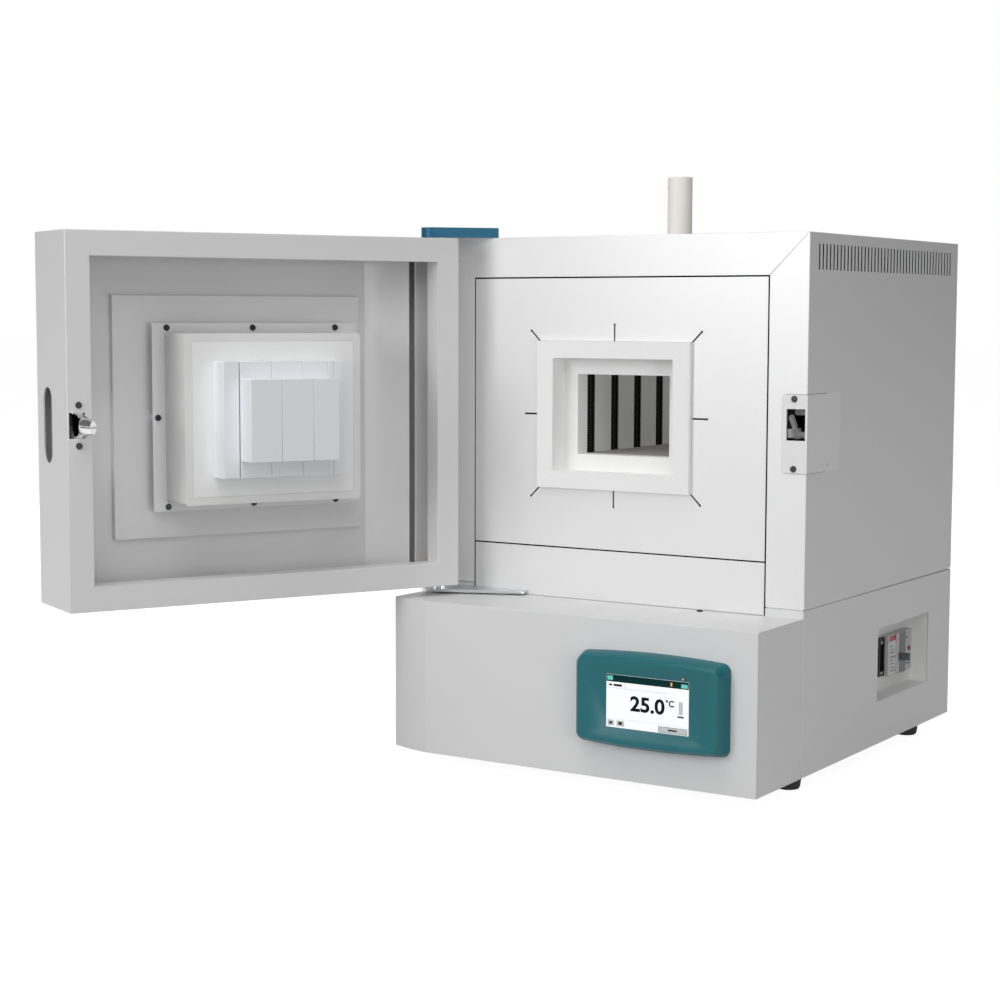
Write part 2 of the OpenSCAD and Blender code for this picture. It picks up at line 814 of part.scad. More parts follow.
module thermocouple() {
    head = 22;
    color([0.85, 0.83, 0.78]) union() {
        along_y(muffle_x, chamber_back - probe_in, probe_z, probe_r, casing_back - chamber_back + probe_in + over);
        slab([muffle_x - head / 2, casing_back, probe_z - head / 2],
            [muffle_x + head / 2, casing_back + 15, probe_z + head / 2]);
    }
}

// ---------- control unit ----------

// Outline of the control unit with bowed top and bottom edges
module crowned(w, h, crown, r) {
    n = 8;
    top = [for (i = [-n : n]) [w / 2 * i / n, h / 2 + crown * (1 - i * i / (n * n))]];
    low = [for (i = [-n : n]) [-w / 2 * i / n, -h / 2 - crown * (1 - i * i / (n * n))]];
    offset(r = r, $fn = 40) offset(delta = -r) polygon(concat(top, low));
}

module control_housing() {
    edge = 3;
    flare = 2 * unit_flare;
    color(teal) translate([unit_x, 0, unit_z]) difference() {
        hull() {
            upright(unit_y - over, over) crowned(unit_w + flare, unit_h + flare, unit_crown, unit_r);
            upright(unit_front + edge, over) crowned(unit_w + edge, unit_h + edge, unit_crown, unit_r);
            upright(unit_front, 0.5) crowned(unit_w - edge, unit_h - edge, unit_crown, unit_r - edge / 2);
        }
        hull() {
            upright(unit_front - over, over) crowned(unit_w - 20, unit_h - 16, unit_crown, unit_r);
            upright(glass_y - over, over) square([screen_w, screen_h], center = true);
        }
        upright(glass_y - over, unit_d) square([screen_w, screen_h], center = true);
        upright(glass_y + 3, unit_d) square([unit_w - 14, unit_h - 12], center = true);
    }
}

module display_glass() {
    glass_in = 0.3;
    color([0.05, 0.06, 0.06]) translate([unit_x, 0, unit_z]) union() {
        upright(glass_y, 3) square([screen_w - glass_in, screen_h - glass_in], center = true);
        upright(glass_y + 3, 6) square([screen_w + 14, screen_h + 10], center = true);
    }
}

module control_board() {
    color([0.05, 0.30, 0.15]) translate([unit_x, 0, unit_z]) union() {
        upright(glass_y + 9, 1.6) square([screen_w + 30, screen_h + 12], center = true);
        for (x = [-1, 1]) upright(glass_y + 10.6, unit_d - screen_d - 10.6)
            translate([x * (screen_w / 2 + 8), 0]) square([6, 20], center = true);
    }
}

// ---------- switch recess ----------

module breaker_box(grow) {
    slab([recess_floor_x - 45, breaker_y - breaker_l / 2 - grow, breaker_z - breaker_h / 2 - grow],
        [breaker_face, breaker_y + breaker_l / 2 + grow, breaker_z + breaker_h / 2 + grow]);
}

module port_box(grow) {
    slab([recess_floor_x - 20, port_y - port_l / 2 - grow, breaker_z - port_h / 2 - grow],
        [recess_floor_x + 4, port_y + port_l / 2 + grow, breaker_z + port_h / 2 + grow]);
}

module switch_tray() {
    low = [recess_floor_x - sheet_t, tray_y - sheet_t, recess_low - sheet_t];
    high = [inner_x, tray_y + tray_l + sheet_t, recess_low + tray_z + sheet_t];
    color([0.9, 0.9, 0.9]) difference() {
        union() {
            slab(low, high);
            slab([inner_x - sheet_t, low[1] - flange_w, low[2] - flange_w],
                [inner_x, high[1] + flange_w, high[2] + flange_w]);
        }
        slab([recess_floor_x, tray_y, recess_low], [side_x + over, tray_y + tray_l, recess_low + tray_z]);
        breaker_box(0);
        port_box(0);
    }
}

module breaker_body() {
    pocket_l = 16;
    color([0.85, 0.85, 0.84]) difference() {
        union() {
            breaker_box(0);
            slab([breaker_face - over, breaker_y - band_l / 2, breaker_z - breaker_h / 2],
                [breaker_face + band_out, breaker_y + band_l / 2, breaker_z + breaker_h / 2]);
        }
        slab([toggle_x - toggle_r - 2, breaker_y - pocket_l / 2, toggle_z - toggle_h / 2 - 0.5],
            [breaker_face + band_out + over, breaker_y + pocket_l / 2, toggle_z + toggle_h / 2 + 0.5]);
        translate([toggle_x, breaker_y, toggle_z - toggle_h / 2 - 4])
            cylinder(r = toggle_pin_r + pin_clear, h = toggle_h + 8);
        along_x(breaker_face - 8, button_y, button_z, button_r + 0.2, 8 + over);
    }
}

module breaker_toggle() {
    lever_l = band_out + 14;
    color([0.25, 0.26, 0.28]) translate([toggle_x, breaker_y, toggle_z]) rotate([0, 0, toggle_tilt]) union() {
        translate([0, 0, -toggle_h / 2]) cylinder(r = toggle_r, h = toggle_h);
        translate([0, 0, -toggle_h / 2 - 3.7]) cylinder(r = toggle_pin_r, h = toggle_h + 7.4);
        slab([0, -2.6, -toggle_h / 2], [lever_l - 2.6, 2.6, toggle_h / 2]);
        translate([lever_l - 2.6, 0, -toggle_h / 2]) cylinder(r = 2.6, h = toggle_h);
    }
}

module test_button() {
    color([0.55, 0.20, 0.05]) along_x(breaker_face - 8 + button_travel + 0.3, button_y, button_z, button_r,
        8 + 1.7 - button_travel);
}

module terminal_port() {
    color(black) difference() {
        port_box(0);
        slab([recess_floor_x + 1, port_y - port_l / 2 + 3, breaker_z - port_h / 2 + 6],
            [recess_floor_x + 4 + over, port_y + port_l / 2 - 3, breaker_z + port_h / 2 - 6]);
    }
}

// ---------- strike and catch ----------

module strike_screw_places() {
    for (s = [-1, 1]) translate([window_x0 + window_w / 2 - 2, 0, latch_z - 9.5 + s * 36]) children();
}

module strike_plate() {
    low = latch_z - 9.5 - strike_h / 2;
    color([0.86, 0.86, 0.86]) difference() {
        union() {
            slab([side_x - strike_w + strike_r, -strike_t, low], [side_x + strike_t, 0, low + strike_h]);
            slab([side_x - strike_w, -strike_t, low + strike_r],
                [side_x - strike_w + 2 * strike_r, 0, low + strike_h - strike_r]);
            for (z = [strike_r, strike_h - strike_r])
                along_y(side_x - strike_w + strike_r, -strike_t, low + z, strike_r, strike_t);
            slab([side_x, 0, low], [side_x + strike_t, strike_l, low + strike_h]);
        }
        slab([window_x0, -strike_t - over, latch_z - window_h / 2], [window_x1, over, latch_z + window_h / 2]);
        strike_screw_places() along_y(0, -strike_t - over, 0, screw_r + 0.2, strike_t + 2 * over);
        along_x(side_x - over, 53, latch_z - 43.5, 1.6, strike_t + 2 * over);
    }
}

module catch_block() {
    wall = 1.2;
    color(black) difference() {
        slab([catch_x0, casing_front, latch_z - catch_h / 2], [inner_x, casing_front + catch_d, latch_z + catch_h / 2]);
        slab([catch_x0 + wall, casing_front - over, latch_z - catch_h / 2 + wall],
            [inner_x - wall, casing_front + catch_d - wall, latch_z + catch_h / 2 - wall]);
    }
}

// Two rollers grip the nose, and a follower with two stops lies against the block's left wall
module catch_rollers() {
    color(steel) {
        for (s = [-1, 1])
            along_x(catch_x0 + 1.2, roller_y, latch_z + s * roller_z, roller_r, inner_x - catch_x0 - 2.4);
        translate([catch_x0 + 1.2, 0, latch_z]) {
            translate([0, 13, 8]) rotate([-50, 0, 0]) slab([0, 0, -2.5], [4, 16, 2.5]);
            slab([0, 9, -14], [4.2, 21, -5]);
            slab([0, 24, -16], [4.2, 33, -5]);
        }
    }
}

// ---------- hinges ----------

// Wing-shaped plan around the hinge axis: a round nose, a slanted side and a straight left side
module wing(nose, corner, back, inset) {
    r = nose - inset;
    end = [corner[0] - inset * 1.6, corner[1]];
    a = atan2(end[1] - hinge_y, end[0] - hinge_x) - acos(r / norm(end - [hinge_x, hinge_y]));
    translate([hinge_x, hinge_y]) circle(r);
    polygon([[hinge_x - r, hinge_y], [hinge_x - r, back - inset], [end[0] - 24, back - inset], end,
        [hinge_x + r * cos(a), hinge_y + r * sin(a)], [hinge_x, hinge_y]]);
}

module hinge_bolt_places() {
    for (p = [[hinge_x + 4, 14], [hinge_x + 30, 14]]) translate([p[0], p[1], 0]) children();
}

nose_r = 13;
wing_corner = [hinge_x + 59, 4];
wing_back = 40;

module top_hinge_bracket() {
    color(steel) difference() {
        translate([0, 0, top_z]) linear_extrude(hinge_plate_t) wing(nose_r, wing_corner, wing_back, 3);
        translate([hinge_x, hinge_y, top_z - over]) cylinder(r = pin_r, h = hinge_plate_t + 2 * over);
        hinge_bolt_places() translate([0, 0, top_z - over])
            cylinder(r = screw_r + seat_clear, h = hinge_plate_t + 2 * over);
    }
}

module top_hinge_cover() {
    wall = 2;
    color([0.02, 0.35, 0.48]) difference() {
        translate([0, 0, top_z]) linear_extrude(hinge_cover_h) wing(nose_r, wing_corner, wing_back, 0);
        translate([0, 0, top_z - over]) linear_extrude(hinge_cover_h - wall + over)
            wing(nose_r, wing_corner, wing_back, wall);
    }
}

low_plate_z = console_top + shim_t;
low_washer_z = door_low - 0.3;

module lower_hinge_plate() {
    reach_x = hinge_x + lower_plate_l;
    color(steel) difference() {
        union() {
            translate([0, 0, low_plate_z]) linear_extrude(hinge_plate_t) union() {
                translate([hinge_x, hinge_y]) circle(nose_r);
                polygon([[hinge_x - nose_r, hinge_y], [hinge_x - nose_r, -joint_gap], [reach_x, -joint_gap],
                    [reach_x, -8], [reach_x - 4, -12], [hinge_x + nose_r * 0.36, hinge_y - nose_r * 0.93]]);
            }
            translate([0, 0, console_top]) linear_extrude(low_plate_z - console_top)
                polygon([[hinge_x, -joint_gap], [hinge_x, hinge_y + 6], [reach_x - 20, -10],
                    [reach_x - 20, -joint_gap]]);
            translate([hinge_x, hinge_y, low_plate_z]) cylinder(r = pin_r + 4, h = low_washer_z - low_plate_z);
        }
        translate([hinge_x, hinge_y, low_plate_z - over]) cylinder(r = pin_r, h = low_washer_z);
    }
}

pin_bite = 22;

module hinge_pins() {
    color([0.75, 0.75, 0.77]) {
        translate([hinge_x, hinge_y, door_high - pin_bite])
            cylinder(r = pin_r, h = top_z + hinge_plate_t - door_high + pin_bite);
        translate([hinge_x, hinge_y, low_plate_z]) cylinder(r = pin_r, h = door_low + pin_bite - low_plate_z);
    }
}

// ---------- electrical parts and screws ----------

module relay_heatsink() {
    fin_n = 9;
    fin_t = 2;
    base_t = 6;
    relay = [45, 58, 23];
    step = (sink_w - fin_t) / (fin_n - 1);
    color([0.70, 0.71, 0.73]) translate([0, cab_d - sink_in - sink_l, foot_h + sheet_t]) union() {
        slab([-sink_w / 2, 0, 0], [sink_w / 2, sink_l, base_t]);
        for (i = [0 : fin_n - 1]) translate([-sink_w / 2 + i * step, 0, base_t]) cube([fin_t, sink_l, sink_h - base_t]);
        translate([-relay[0] / 2, (sink_l - relay[1]) / 2, sink_h]) cube(relay);
    }
}

module cable_gland() {
    flat_l = 7;
    color(black) difference() {
        union() {
            along_y(gland_x, back_y - 12, gland_z, gland_r - 3, 12 + sheet_t + gland_out);
            translate([gland_x, cab_d, gland_z]) rotate([-90, 0, 0]) cylinder(r = gland_r, h = flat_l, $fn = 6);
            translate([gland_x, back_y - 6, gland_z]) rotate([-90, 0, 0]) cylinder(r = gland_r, h = 6, $fn = 6);
            along_y(gland_x, cab_d + flat_l, gland_z, gland_r - 1.5, gland_out - flat_l);
        }
        along_y(gland_x, back_y - 12 - over, gland_z, gland_bore_r, 14 + sheet_t + gland_out);
    }
}

module cabinet_screws() {
    color(steel) {
        foot_places() translate([0, 0, foot_h / 2]) rotate([180, 0, 0]) screw(foot_h / 2 + sheet_t + 2);
        rear_screw_places(foot_h + 20, base_top - 20) translate([0, sheet_t, 0]) rotate([-90, 0, 0]) screw(sheet_t);
        rear_screw_places(upper_low + 20, top_z - 20) translate([0, sheet_t, 0]) rotate([-90, 0, 0])
            screw(sheet_t);
        strike_screw_places() translate([0, -strike_t, 0]) rotate([90, 0, 0]) screw(strike_t + casing_front);
        hinge_bolt_places() translate([0, 0, top_z + hinge_plate_t]) screw(hinge_plate_t + sheet_t);
        console_screw_place() screw(sheet_t + 2);
    }
}

// ---------- door ----------

module door_shell() {
    door_h = door_high - door_low;
    open_x0 = door_x0 + door_rim;
    open_x1 = door_x1 - door_rim;
    open_low = door_low + door_rim;
    open_high = door_high - door_rim;
    color(body_grey) difference() {
        union() {
            difference() {
                translate([0, 0, door_low]) linear_extrude(door_h)
                    bent_plan(door_x0, door_x1, door_out, door_in, 0);
                translate([0, 0, door_low + sheet_t]) linear_extrude(door_h - 2 * sheet_t)
                    bent_plan(door_x0, door_x1, door_out, door_in, sheet_t);
            }
            slab([open_x0 - sheet_t, door_in - lip_d, open_low - sheet_t],
                [open_x1 + sheet_t, door_in, open_high + sheet_t]);
        }
        slab([open_x0, door_in - lip_d - over, open_low], [open_x1, door_in + over, open_high]);
        translate([tongue_x, 0, latch_z]) slab([-tongue_t / 2 - 1, door_in - sheet_t - over, -tongue_h / 2 - 2],
            [tongue_t / 2 + 4.8, door_in + over, tongue_h / 2 + 2]);
        translate([door_x1 - sheet_t - over, slot_y, slot_z]) rotate([90, 0, 90])
            linear_extrude(sheet_t + 2 * over) round_rect(slot_w, slot_h, slot_w / 2 - 0.01);
        translate([hinge_x, hinge_y, door_low - over]) cylinder(r = pin_r + 3, h = door_h + 2 * over);
        latch_screw_places() along_y(0, -sheet_t - over, 0, screw_r + 0.2, sheet_t + 2 * over);
    }
}

// The liner is flat up to a crease, and curves up towards the hinge behind it
module door_liner() {
    low = door_low + sheet_t;
    h = door_high - door_low - 2 * sheet_t;
    hinge_side = 30;
    lap = 0.5;
    crease_x = door_x0 + liner_w;
    centre = [crease_x + liner_r * sin(liner_crease), liner_out + liner_r * cos(liner_crease)];
    color(inner_grey) translate([0, 0, low]) linear_extrude(h) union() {
        translate([crease_x, liner_out]) square([door_x1 - sheet_t - liner_gap - crease_x, sheet_t]);
        intersection() {
            translate([door_x0 + hinge_side, liner_out]) square([liner_w - hinge_side + lap, liner_w]);
            translate(centre) difference() {
                circle(liner_r, $fn = 240);
                circle(liner_r - sheet_t, $fn = 240);
            }
        }
    }
}

module hinge_channel() {
    low = door_low + sheet_t;
    high = door_high - sheet_t;
    x1 = door_x0 + door_rim - sheet_t;
    y1 = door_in - sheet_t;
    color(inner_grey) difference() {
        slab([door_x0 + sheet_t, door_in - 58, low], [x1, y1, high]);
        slab([door_x0 + 2 * sheet_t, door_in - 58 + sheet_t, low + 8], [x1 + over, y1 - sheet_t, high - 8]);
        slab([door_x0 + 2 * sheet_t, door_in - 58 + sheet_t, low + sheet_t],
            [x1 - sheet_t, y1 - sheet_t, high - sheet_t]);
        translate([hinge_x, hinge_y, low - over]) cylinder(r = pin_r + 3, h = high - low + 2 * over);
    }
}

module hinge_bushes() {
    bush_l = pin_bite + 4;
    color([0.70, 0.55, 0.25]) for (z = [door_low, door_high - bush_l]) translate([hinge_x, hinge_y, z])
        difference() {
            cylinder(r = pin_r + 3, h = bush_l);
            translate([0, 0, -over]) cylinder(r = pin_r + pin_clear, h = bush_l + 2 * over);
        }
}

module plug_screw_places() {
    dx = mount_screws / 2;
    side = pan_w / 2 + 8;
    dz = mount_h / 2 - 5;
    for (p = [[-dx, -dz], [0, -dz], [dx, -dz], [-side, 0], [side, 0], [-dx, dz], [0, dz], [dx, dz]])
        translate([plug_x + p[0], 0, muffle_z + p[1]]) children();
}

module plug_tray() {
    post_r = 4;
    color(inner_grey) union() {
        difference() {
            slab([tray_x - tray_w / 2, liner_out + sheet_t, muffle_z - tray_h / 2],
                [tray_x + tray_w / 2, tray_face, muffle_z + tray_h / 2]);
            slab([tray_x - tray_w / 2 + sheet_t, liner_out, muffle_z - tray_h / 2 + sheet_t],
                [tray_x + tray_w / 2 - sheet_t, tray_face - sheet_t, muffle_z + tray_h / 2 - sheet_t]);
        }
        plug_screw_places() difference() {
            along_y(0, tray_face - sheet_t, 0, post_r, standoff_l + sheet_t);
            along_y(0, mount_y - 10, 0, screw_r, 10 + over);
        }
    }
}

module plug_mounting_plate() {
    color(inner_grey) difference() {
        slab([mount_x - mount_w / 2, mount_y, muffle_z - mount_h / 2],
            [mount_x + mount_w / 2, mount_y + sheet_t, muffle_z + mount_h / 2]);
        plug_screw_places() along_y(0, mount_y - over, 0, screw_r + seat_clear, sheet_t + 2 * over);
    }
}

module plug_pan() {
    back = mount_y + sheet_t;
    color([0.85, 0.85, 0.85]) translate([plug_x, 0, muffle_z]) difference() {
        upright(back, pan_face - back) round_rect(pan_w, pan_h, pan_r);
        upright(back - over, pan_face - sheet_t - back + over)
            round_rect(pan_w - 2 * sheet_t, pan_h - 2 * sheet_t, pan_r - sheet_t);
        upright(back, pan_face - back + over) square([face_w, face_h], center = true);
    }
}

module plug_face_board() {
    back = mount_y + sheet_t;
    color(fibre) translate([plug_x, 0, muffle_z]) difference() {
        union() {
            slab([-face_w / 2 + seat_clear, pan_face - sheet_t - over, -face_h / 2 + seat_clear],
                [face_w / 2 - seat_clear, pan_face, face_h / 2 - seat_clear]);
            upright(back, pan_face - sheet_t - back)
                round_rect(pan_w - 2 * sheet_t, pan_h - 2 * sheet_t, pan_r - sheet_t);
        }
        slab([-step_w / 2, back - over, -step_h / 2], [step_w / 2, pan_face + over, step_h / 2]);
    }
}

// The plug's core is a row of boards on edge; the outer two end at the first step
module plug_core_boards() {
    joint = 0.2;
    core_back_y = mount_y + sheet_t;
    cuts = concat([-step_w / 2], [for (i = [-1.5 : 1.5]) i * strip_w - strip_shift], [step_w / 2]);
    color(fibre) translate([plug_x, 0, muffle_z]) for (i = [0 : 4]) {
        x0 = cuts[i] + (i > 0 ? joint : 0);
        x1 = cuts[i + 1];
        slab([x0, core_back_y, -step_h / 2], [x1, step_y, step_h / 2]);
        if (i > 0 && i < 4)
            slab([max(x0, -tip_w / 2), step_y - over, -tip_h / 2], [min(x1, tip_w / 2), tip_y, tip_h / 2]);
    }
}

// ---------- latch ----------

module latch_screw_places() {
    for (s = [-1, 1]) translate([tongue_x, door_in, latch_z + s * (tongue_h / 2 + 9.5)]) children();
}

module latch_case() {
    wall = 1.5;
    x0 = door_x1 - door_rim + sheet_t;
    x1 = door_x1 - sheet_t;
    y0 = rocker_pivot_y - rocker_r - 3;
    y1 = door_in - sheet_t;
    half = slot_h / 2 + 6;
    color(steel) union() {
        difference() {
            slab([x0, y0, latch_z - half], [x1, y1, latch_z + half]);
            slab([x0 - over, y0 - over, latch_z - half + wall], [x1 - wall, y1 - wall, latch_z + half - wall]);
            slab([tongue_x - tongue_t / 2 - 1, y1 - wall - over, latch_z - tongue_h / 2 - 2],
                [tongue_x + tongue_t / 2 + 2.8, y1 + over, latch_z + tongue_h / 2 + 2]);
            latch_screw_places() along_y(0, -sheet_t - wall - over, 0, screw_r, wall + 2 * over);
        }
        translate([rocker_pivot_x, rocker_pivot_y, latch_z - half + wall / 2])
            cylinder(r = rocker_pin_r, h = 2 * half - wall);
    }
}

// An oval disc across Y, w wide and h high, with its front at y
module oval(y, w, h) {
    upright(y, 0.5) scale([w / h, 1]) circle(h / 2);
}

// The rocker carries the slotted nose on one arm and the finger rib on the other
module latch_rocker() {
    rib_t = 4;
    rib_h = slot_h - 14;
    rib_x = door_x1 - sheet_t - 4;
    arm_t = 3;
    hub_h = tongue_h + 6;
    neck = tongue_t / 2 - 3;
    waist = tongue_h / 2 - 4;
    nose_y = door_in + neck_l;
    color([0.75, 0.75, 0.77]) difference() {
        union() {
            translate([rocker_pivot_x, rocker_pivot_y, latch_z - hub_h / 2]) cylinder(r = rocker_r, h = hub_h);
            slab([tongue_x - neck, rocker_pivot_y, latch_z - tongue_h / 2],
                [tongue_x + neck, door_in + 1, latch_z + tongue_h / 2]);
            translate([tongue_x - neck, 0, latch_z]) rotate([90, 0, 90]) linear_extrude(2 * neck)
                polygon([[door_in, -tongue_h / 2], [door_in + neck_l / 2, -waist],
                    [nose_y + over, -tongue_h / 2 + 1], [nose_y + over, tongue_h / 2 - 1],
                    [door_in + neck_l / 2, waist], [door_in, tongue_h / 2]]);
            translate([tongue_x, 0, latch_z]) hull() {
                oval(nose_y, tongue_t, tongue_h);
                oval(tongue_y - 0.5, tongue_t * 0.6, tongue_h * 0.6);
            }
            slab([rocker_pivot_x - arm_t, slot_y - rib_t / 2, latch_z - hub_h / 2],
                [rocker_pivot_x + arm_t, rocker_pivot_y, latch_z + hub_h / 2]);
            slab([rocker_pivot_x - arm_t, slot_y - rib_t / 2, slot_z - rib_h / 2],
                [rib_x, slot_y + rib_t / 2, slot_z + rib_h / 2]);
        }
        translate([rocker_pivot_x, rocker_pivot_y, latch_z - hub_h / 2 - over])
            cylinder(r = rocker_pin_r + pin_clear, h = hub_h + 2 * over);
        slab([tongue_x - tongue_t, nose_y + 3, latch_z - 1.1], [tongue_x + tongue_t, tongue_y + over, latch_z + 1.1]);
    }
}

module door_screws() {
    color(steel) {
        plug_screw_places() translate([0, mount_y + sheet_t, 0]) rotate([-90, 0, 0]) screw(sheet_t + 8);
        latch_screw_places() rotate([-90, 0, 0]) screw(2 * sheet_t);
    }
}

place() base_shell();
place() console_shell();
place() outer_casing();
place() upper_rear_panel();
place() lower_rear_panel();
place() front_stile(-1);  // front_stile_left
place() front_stile(1);  // front_stile_right
place() front_rail();
place() face_plate();
place() apron_panel();
place() mid_deck();
place() casing_rails();
place() inner_casing();
place() insulation_front();
place() insulation_bottom();
place() insulation_top();
place() insulation_left();
place() insulation_right();
place() insulation_rear();
place() muffle_collar();
place() chamber_floor();
place() chamber_roof();
place() chamber_rear();
place() heater_panel_left();
place() heater_panel_right();
place() heater_coils();
place() hearth_plate();
place() flue_tube();
place() thermocouple();
place() feet();
place() cabinet_screws();
place() control_housing();
place() display_glass();
place() control_board();
place() switch_tray();
place() breaker_body();
place() breaker_toggle();
place() test_button();
place() terminal_port();
place() strike_plate();
place() catch_block();
place() catch_rollers();
place() top_hinge_bracket();
place() top_hinge_cover();
place() lower_hinge_plate();
place() hinge_pins();
place() relay_heatsink();
place() cable_gland();
place_door() door_shell();
place_door() door_liner();
place_door() hinge_channel();
place_door() hinge_bushes();
place_door() plug_tray();
place_door() plug_mounting_plate();
place_door() plug_pan();
place_door() plug_face_board();
place_door() plug_core_boards();
place_door() door_screws();
place_door() latch_case();
place_door() latch_rocker();
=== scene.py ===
"""Looks of a bench-top muffle furnace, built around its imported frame."""
import json
import logging
import math
from dataclasses import dataclass, field
from enum import Enum

import bmesh
import bpy
from mathutils import Matrix, Vector


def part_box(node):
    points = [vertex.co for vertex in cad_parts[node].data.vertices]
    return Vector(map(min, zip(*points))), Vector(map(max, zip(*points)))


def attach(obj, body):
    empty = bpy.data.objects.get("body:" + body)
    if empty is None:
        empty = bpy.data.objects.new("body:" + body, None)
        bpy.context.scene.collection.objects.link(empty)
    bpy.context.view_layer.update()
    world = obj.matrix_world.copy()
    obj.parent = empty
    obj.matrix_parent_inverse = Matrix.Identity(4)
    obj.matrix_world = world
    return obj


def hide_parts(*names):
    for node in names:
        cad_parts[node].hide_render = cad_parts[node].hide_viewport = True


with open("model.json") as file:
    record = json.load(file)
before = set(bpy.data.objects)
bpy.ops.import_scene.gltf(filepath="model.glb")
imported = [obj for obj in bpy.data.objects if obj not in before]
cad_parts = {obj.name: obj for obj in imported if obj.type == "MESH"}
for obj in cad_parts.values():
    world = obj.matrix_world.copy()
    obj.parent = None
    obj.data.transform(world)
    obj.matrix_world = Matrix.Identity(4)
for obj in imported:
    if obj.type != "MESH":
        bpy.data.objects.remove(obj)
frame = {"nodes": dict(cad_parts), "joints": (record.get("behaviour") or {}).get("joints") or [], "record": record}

LOG = logging.getLogger("furnace")
MM = 0.001
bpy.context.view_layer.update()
CABINET = "cabinet"
DOOR = "door"


# Angles between two faces: above the first an edge is rounded, above the second a run shades as a
# curve, and below the third the faces become one
SHARP_DEG = 35.0
BEND_DEG = 0.6
FLAT_DEG = 0.3
MERGE_M = 1e-6

# How far the roughness of coated and of other surfaces varies over their patches
COATED_SPREAD = 0.008
BARE_SPREAD = 0.05
DUST_COLOUR = (0.62, 0.60, 0.57, 1.0)
# Near black laid into the heater panels' grooves as painted shade
GROOVE_SHADE_COLOUR = (0.006, 0.006, 0.006, 1.0)

Colour = tuple[float, float, float]
Paint = tuple[float, float, float, float]
Point = tuple[float, float, float]
Box = tuple[float, float, float, float]
Socket = bpy.types.NodeSocket


# ---------- places ----------

def cabinet_matrix() -> Matrix:
    """Gives the matrix from millimetres on the cabinet's own axes to the shared frame.

    Returns:
        The matrix. The cabinet's axes start at its middle, its front face and the floor.
    """
    low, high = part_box("outer_casing")
    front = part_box("base_shell")[0].y
    return Matrix.Translation(((low.x + high.x) / 2, front, 0.0)) @ Matrix.Scale(MM, 4)


def door_matrix() -> Matrix:
    """Gives the same matrix for a piece of the door, which is laid out with the door closed.

    Returns:
        The matrix, which swings the closed door open about its hinge.
    """
    joint = next(j for j in frame["joints"] if j["name"] == "door_hinge")
    pivot = Matrix.Translation(joint["pos_m"])
    swing = Matrix.Rotation(-math.radians(joint["range_deg"][1]), 4, "Z")
    return pivot @ swing @ pivot.inverted() @ cabinet_matrix()


PLACE = {CABINET: cabinet_matrix(), DOOR: door_matrix()}


# ---------- shared shader effects ----------

def effect_group(name: str, inputs: dict[str, float | None], outputs: tuple[str, ...]) -> bpy.types.NodeTree:
    """Makes an empty shader node group with named sockets.

    Args:
        name: The group's name.
        inputs: Socket name to its default value, or to None for a vector.
        outputs: The names of the values that it gives.

    Returns:
        The node tree, with its input and output nodes in place.
    """
    tree = bpy.data.node_groups.new(name, "ShaderNodeTree")
    for socket, default in inputs.items():
        kind = "NodeSocketVector" if default is None else "NodeSocketFloat"
        made = tree.interface.new_socket(socket, in_out="INPUT", socket_type=kind)
        if default is not None:
            made.default_value = default
    for socket in outputs:
        tree.interface.new_socket(socket, in_out="OUTPUT", socket_type="NodeSocketFloat")
    tree.nodes.new("NodeGroupInput").name = "in"
    tree.nodes.new("NodeGroupOutput").name = "out"
    return tree


def add_node(tree: bpy.types.NodeTree, kind: str, **values: object) -> bpy.types.Node:
    """Adds a node and sets its own properties and its sockets' defaults.

    Args:
        tree: The node tree.
        kind: The node's type name without the ShaderNode in front.
        values: A property of the node, or an input socket's name or number after "i_".

    Returns:
        The node.
    """
    node = tree.nodes.new("ShaderNode" + kind)
    for key, value in values.items():
        if key.startswith("i_"):
            socket = key[2:].replace("_", " ")
            node.inputs[int(socket) if socket.isdigit() else socket].default_value = value
        else:
            setattr(node, key, value)
    return node


def grain_group() -> bpy.types.NodeTree:
    """Builds a fine all-over grain: the orange peel of a coating or the tooth of a moulding.

    Returns:
        The group, which gives a height and a patchy mask from 0 to 1.
    """
    tree = effect_group("fine_grain", {"Vector": None, "Grain Scale": 900.0, "Patch Scale": 9.0},
                        ("Height", "Patches"))
    grain = add_node(tree, "TexNoise", i_Detail=2.0, i_Roughness=0.55)
    patch = add_node(tree, "TexNoise", i_Detail=3.0, i_Roughness=0.6)
    links, start, end = tree.links, tree.nodes["in"], tree.nodes["out"]
    links.new(start.outputs["Vector"], grain.inputs["Vector"])
    links.new(start.outputs["Grain Scale"], grain.inputs["Scale"])
    links.new(start.outputs["Vector"], patch.inputs["Vector"])
    links.new(start.outputs["Patch Scale"], patch.inputs["Scale"])
    links.new(grain.outputs["Fac"], end.inputs["Height"])
    links.new(patch.outputs["Fac"], end.inputs["Patches"])
    return tree


def brushed_group() -> bpy.types.NodeTree:
    """Builds the drawn-out lines of rolled or brushed metal.

    Returns:
        The group, which gives a height that varies quickly across the lines and slowly along them.
    """
    tree = effect_group("rolled_lines", {"Vector": None, "Line Scale": 1.0}, ("Height",))
    squeeze = add_node(tree, "VectorMath", operation="MULTIPLY", i_1=(60.0, 60.0, 2200.0))
    lines = add_node(tree, "TexNoise", i_Scale=1.0, i_Detail=3.0)
    links, start, end = tree.links, tree.nodes["in"], tree.nodes["out"]
    links.new(start.outputs["Vector"], squeeze.inputs[0])
    links.new(squeeze.outputs[0], lines.inputs["Vector"])
    links.new(start.outputs["Line Scale"], lines.inputs["Scale"])
    links.new(lines.outputs["Fac"], end.inputs["Height"])
    return tree


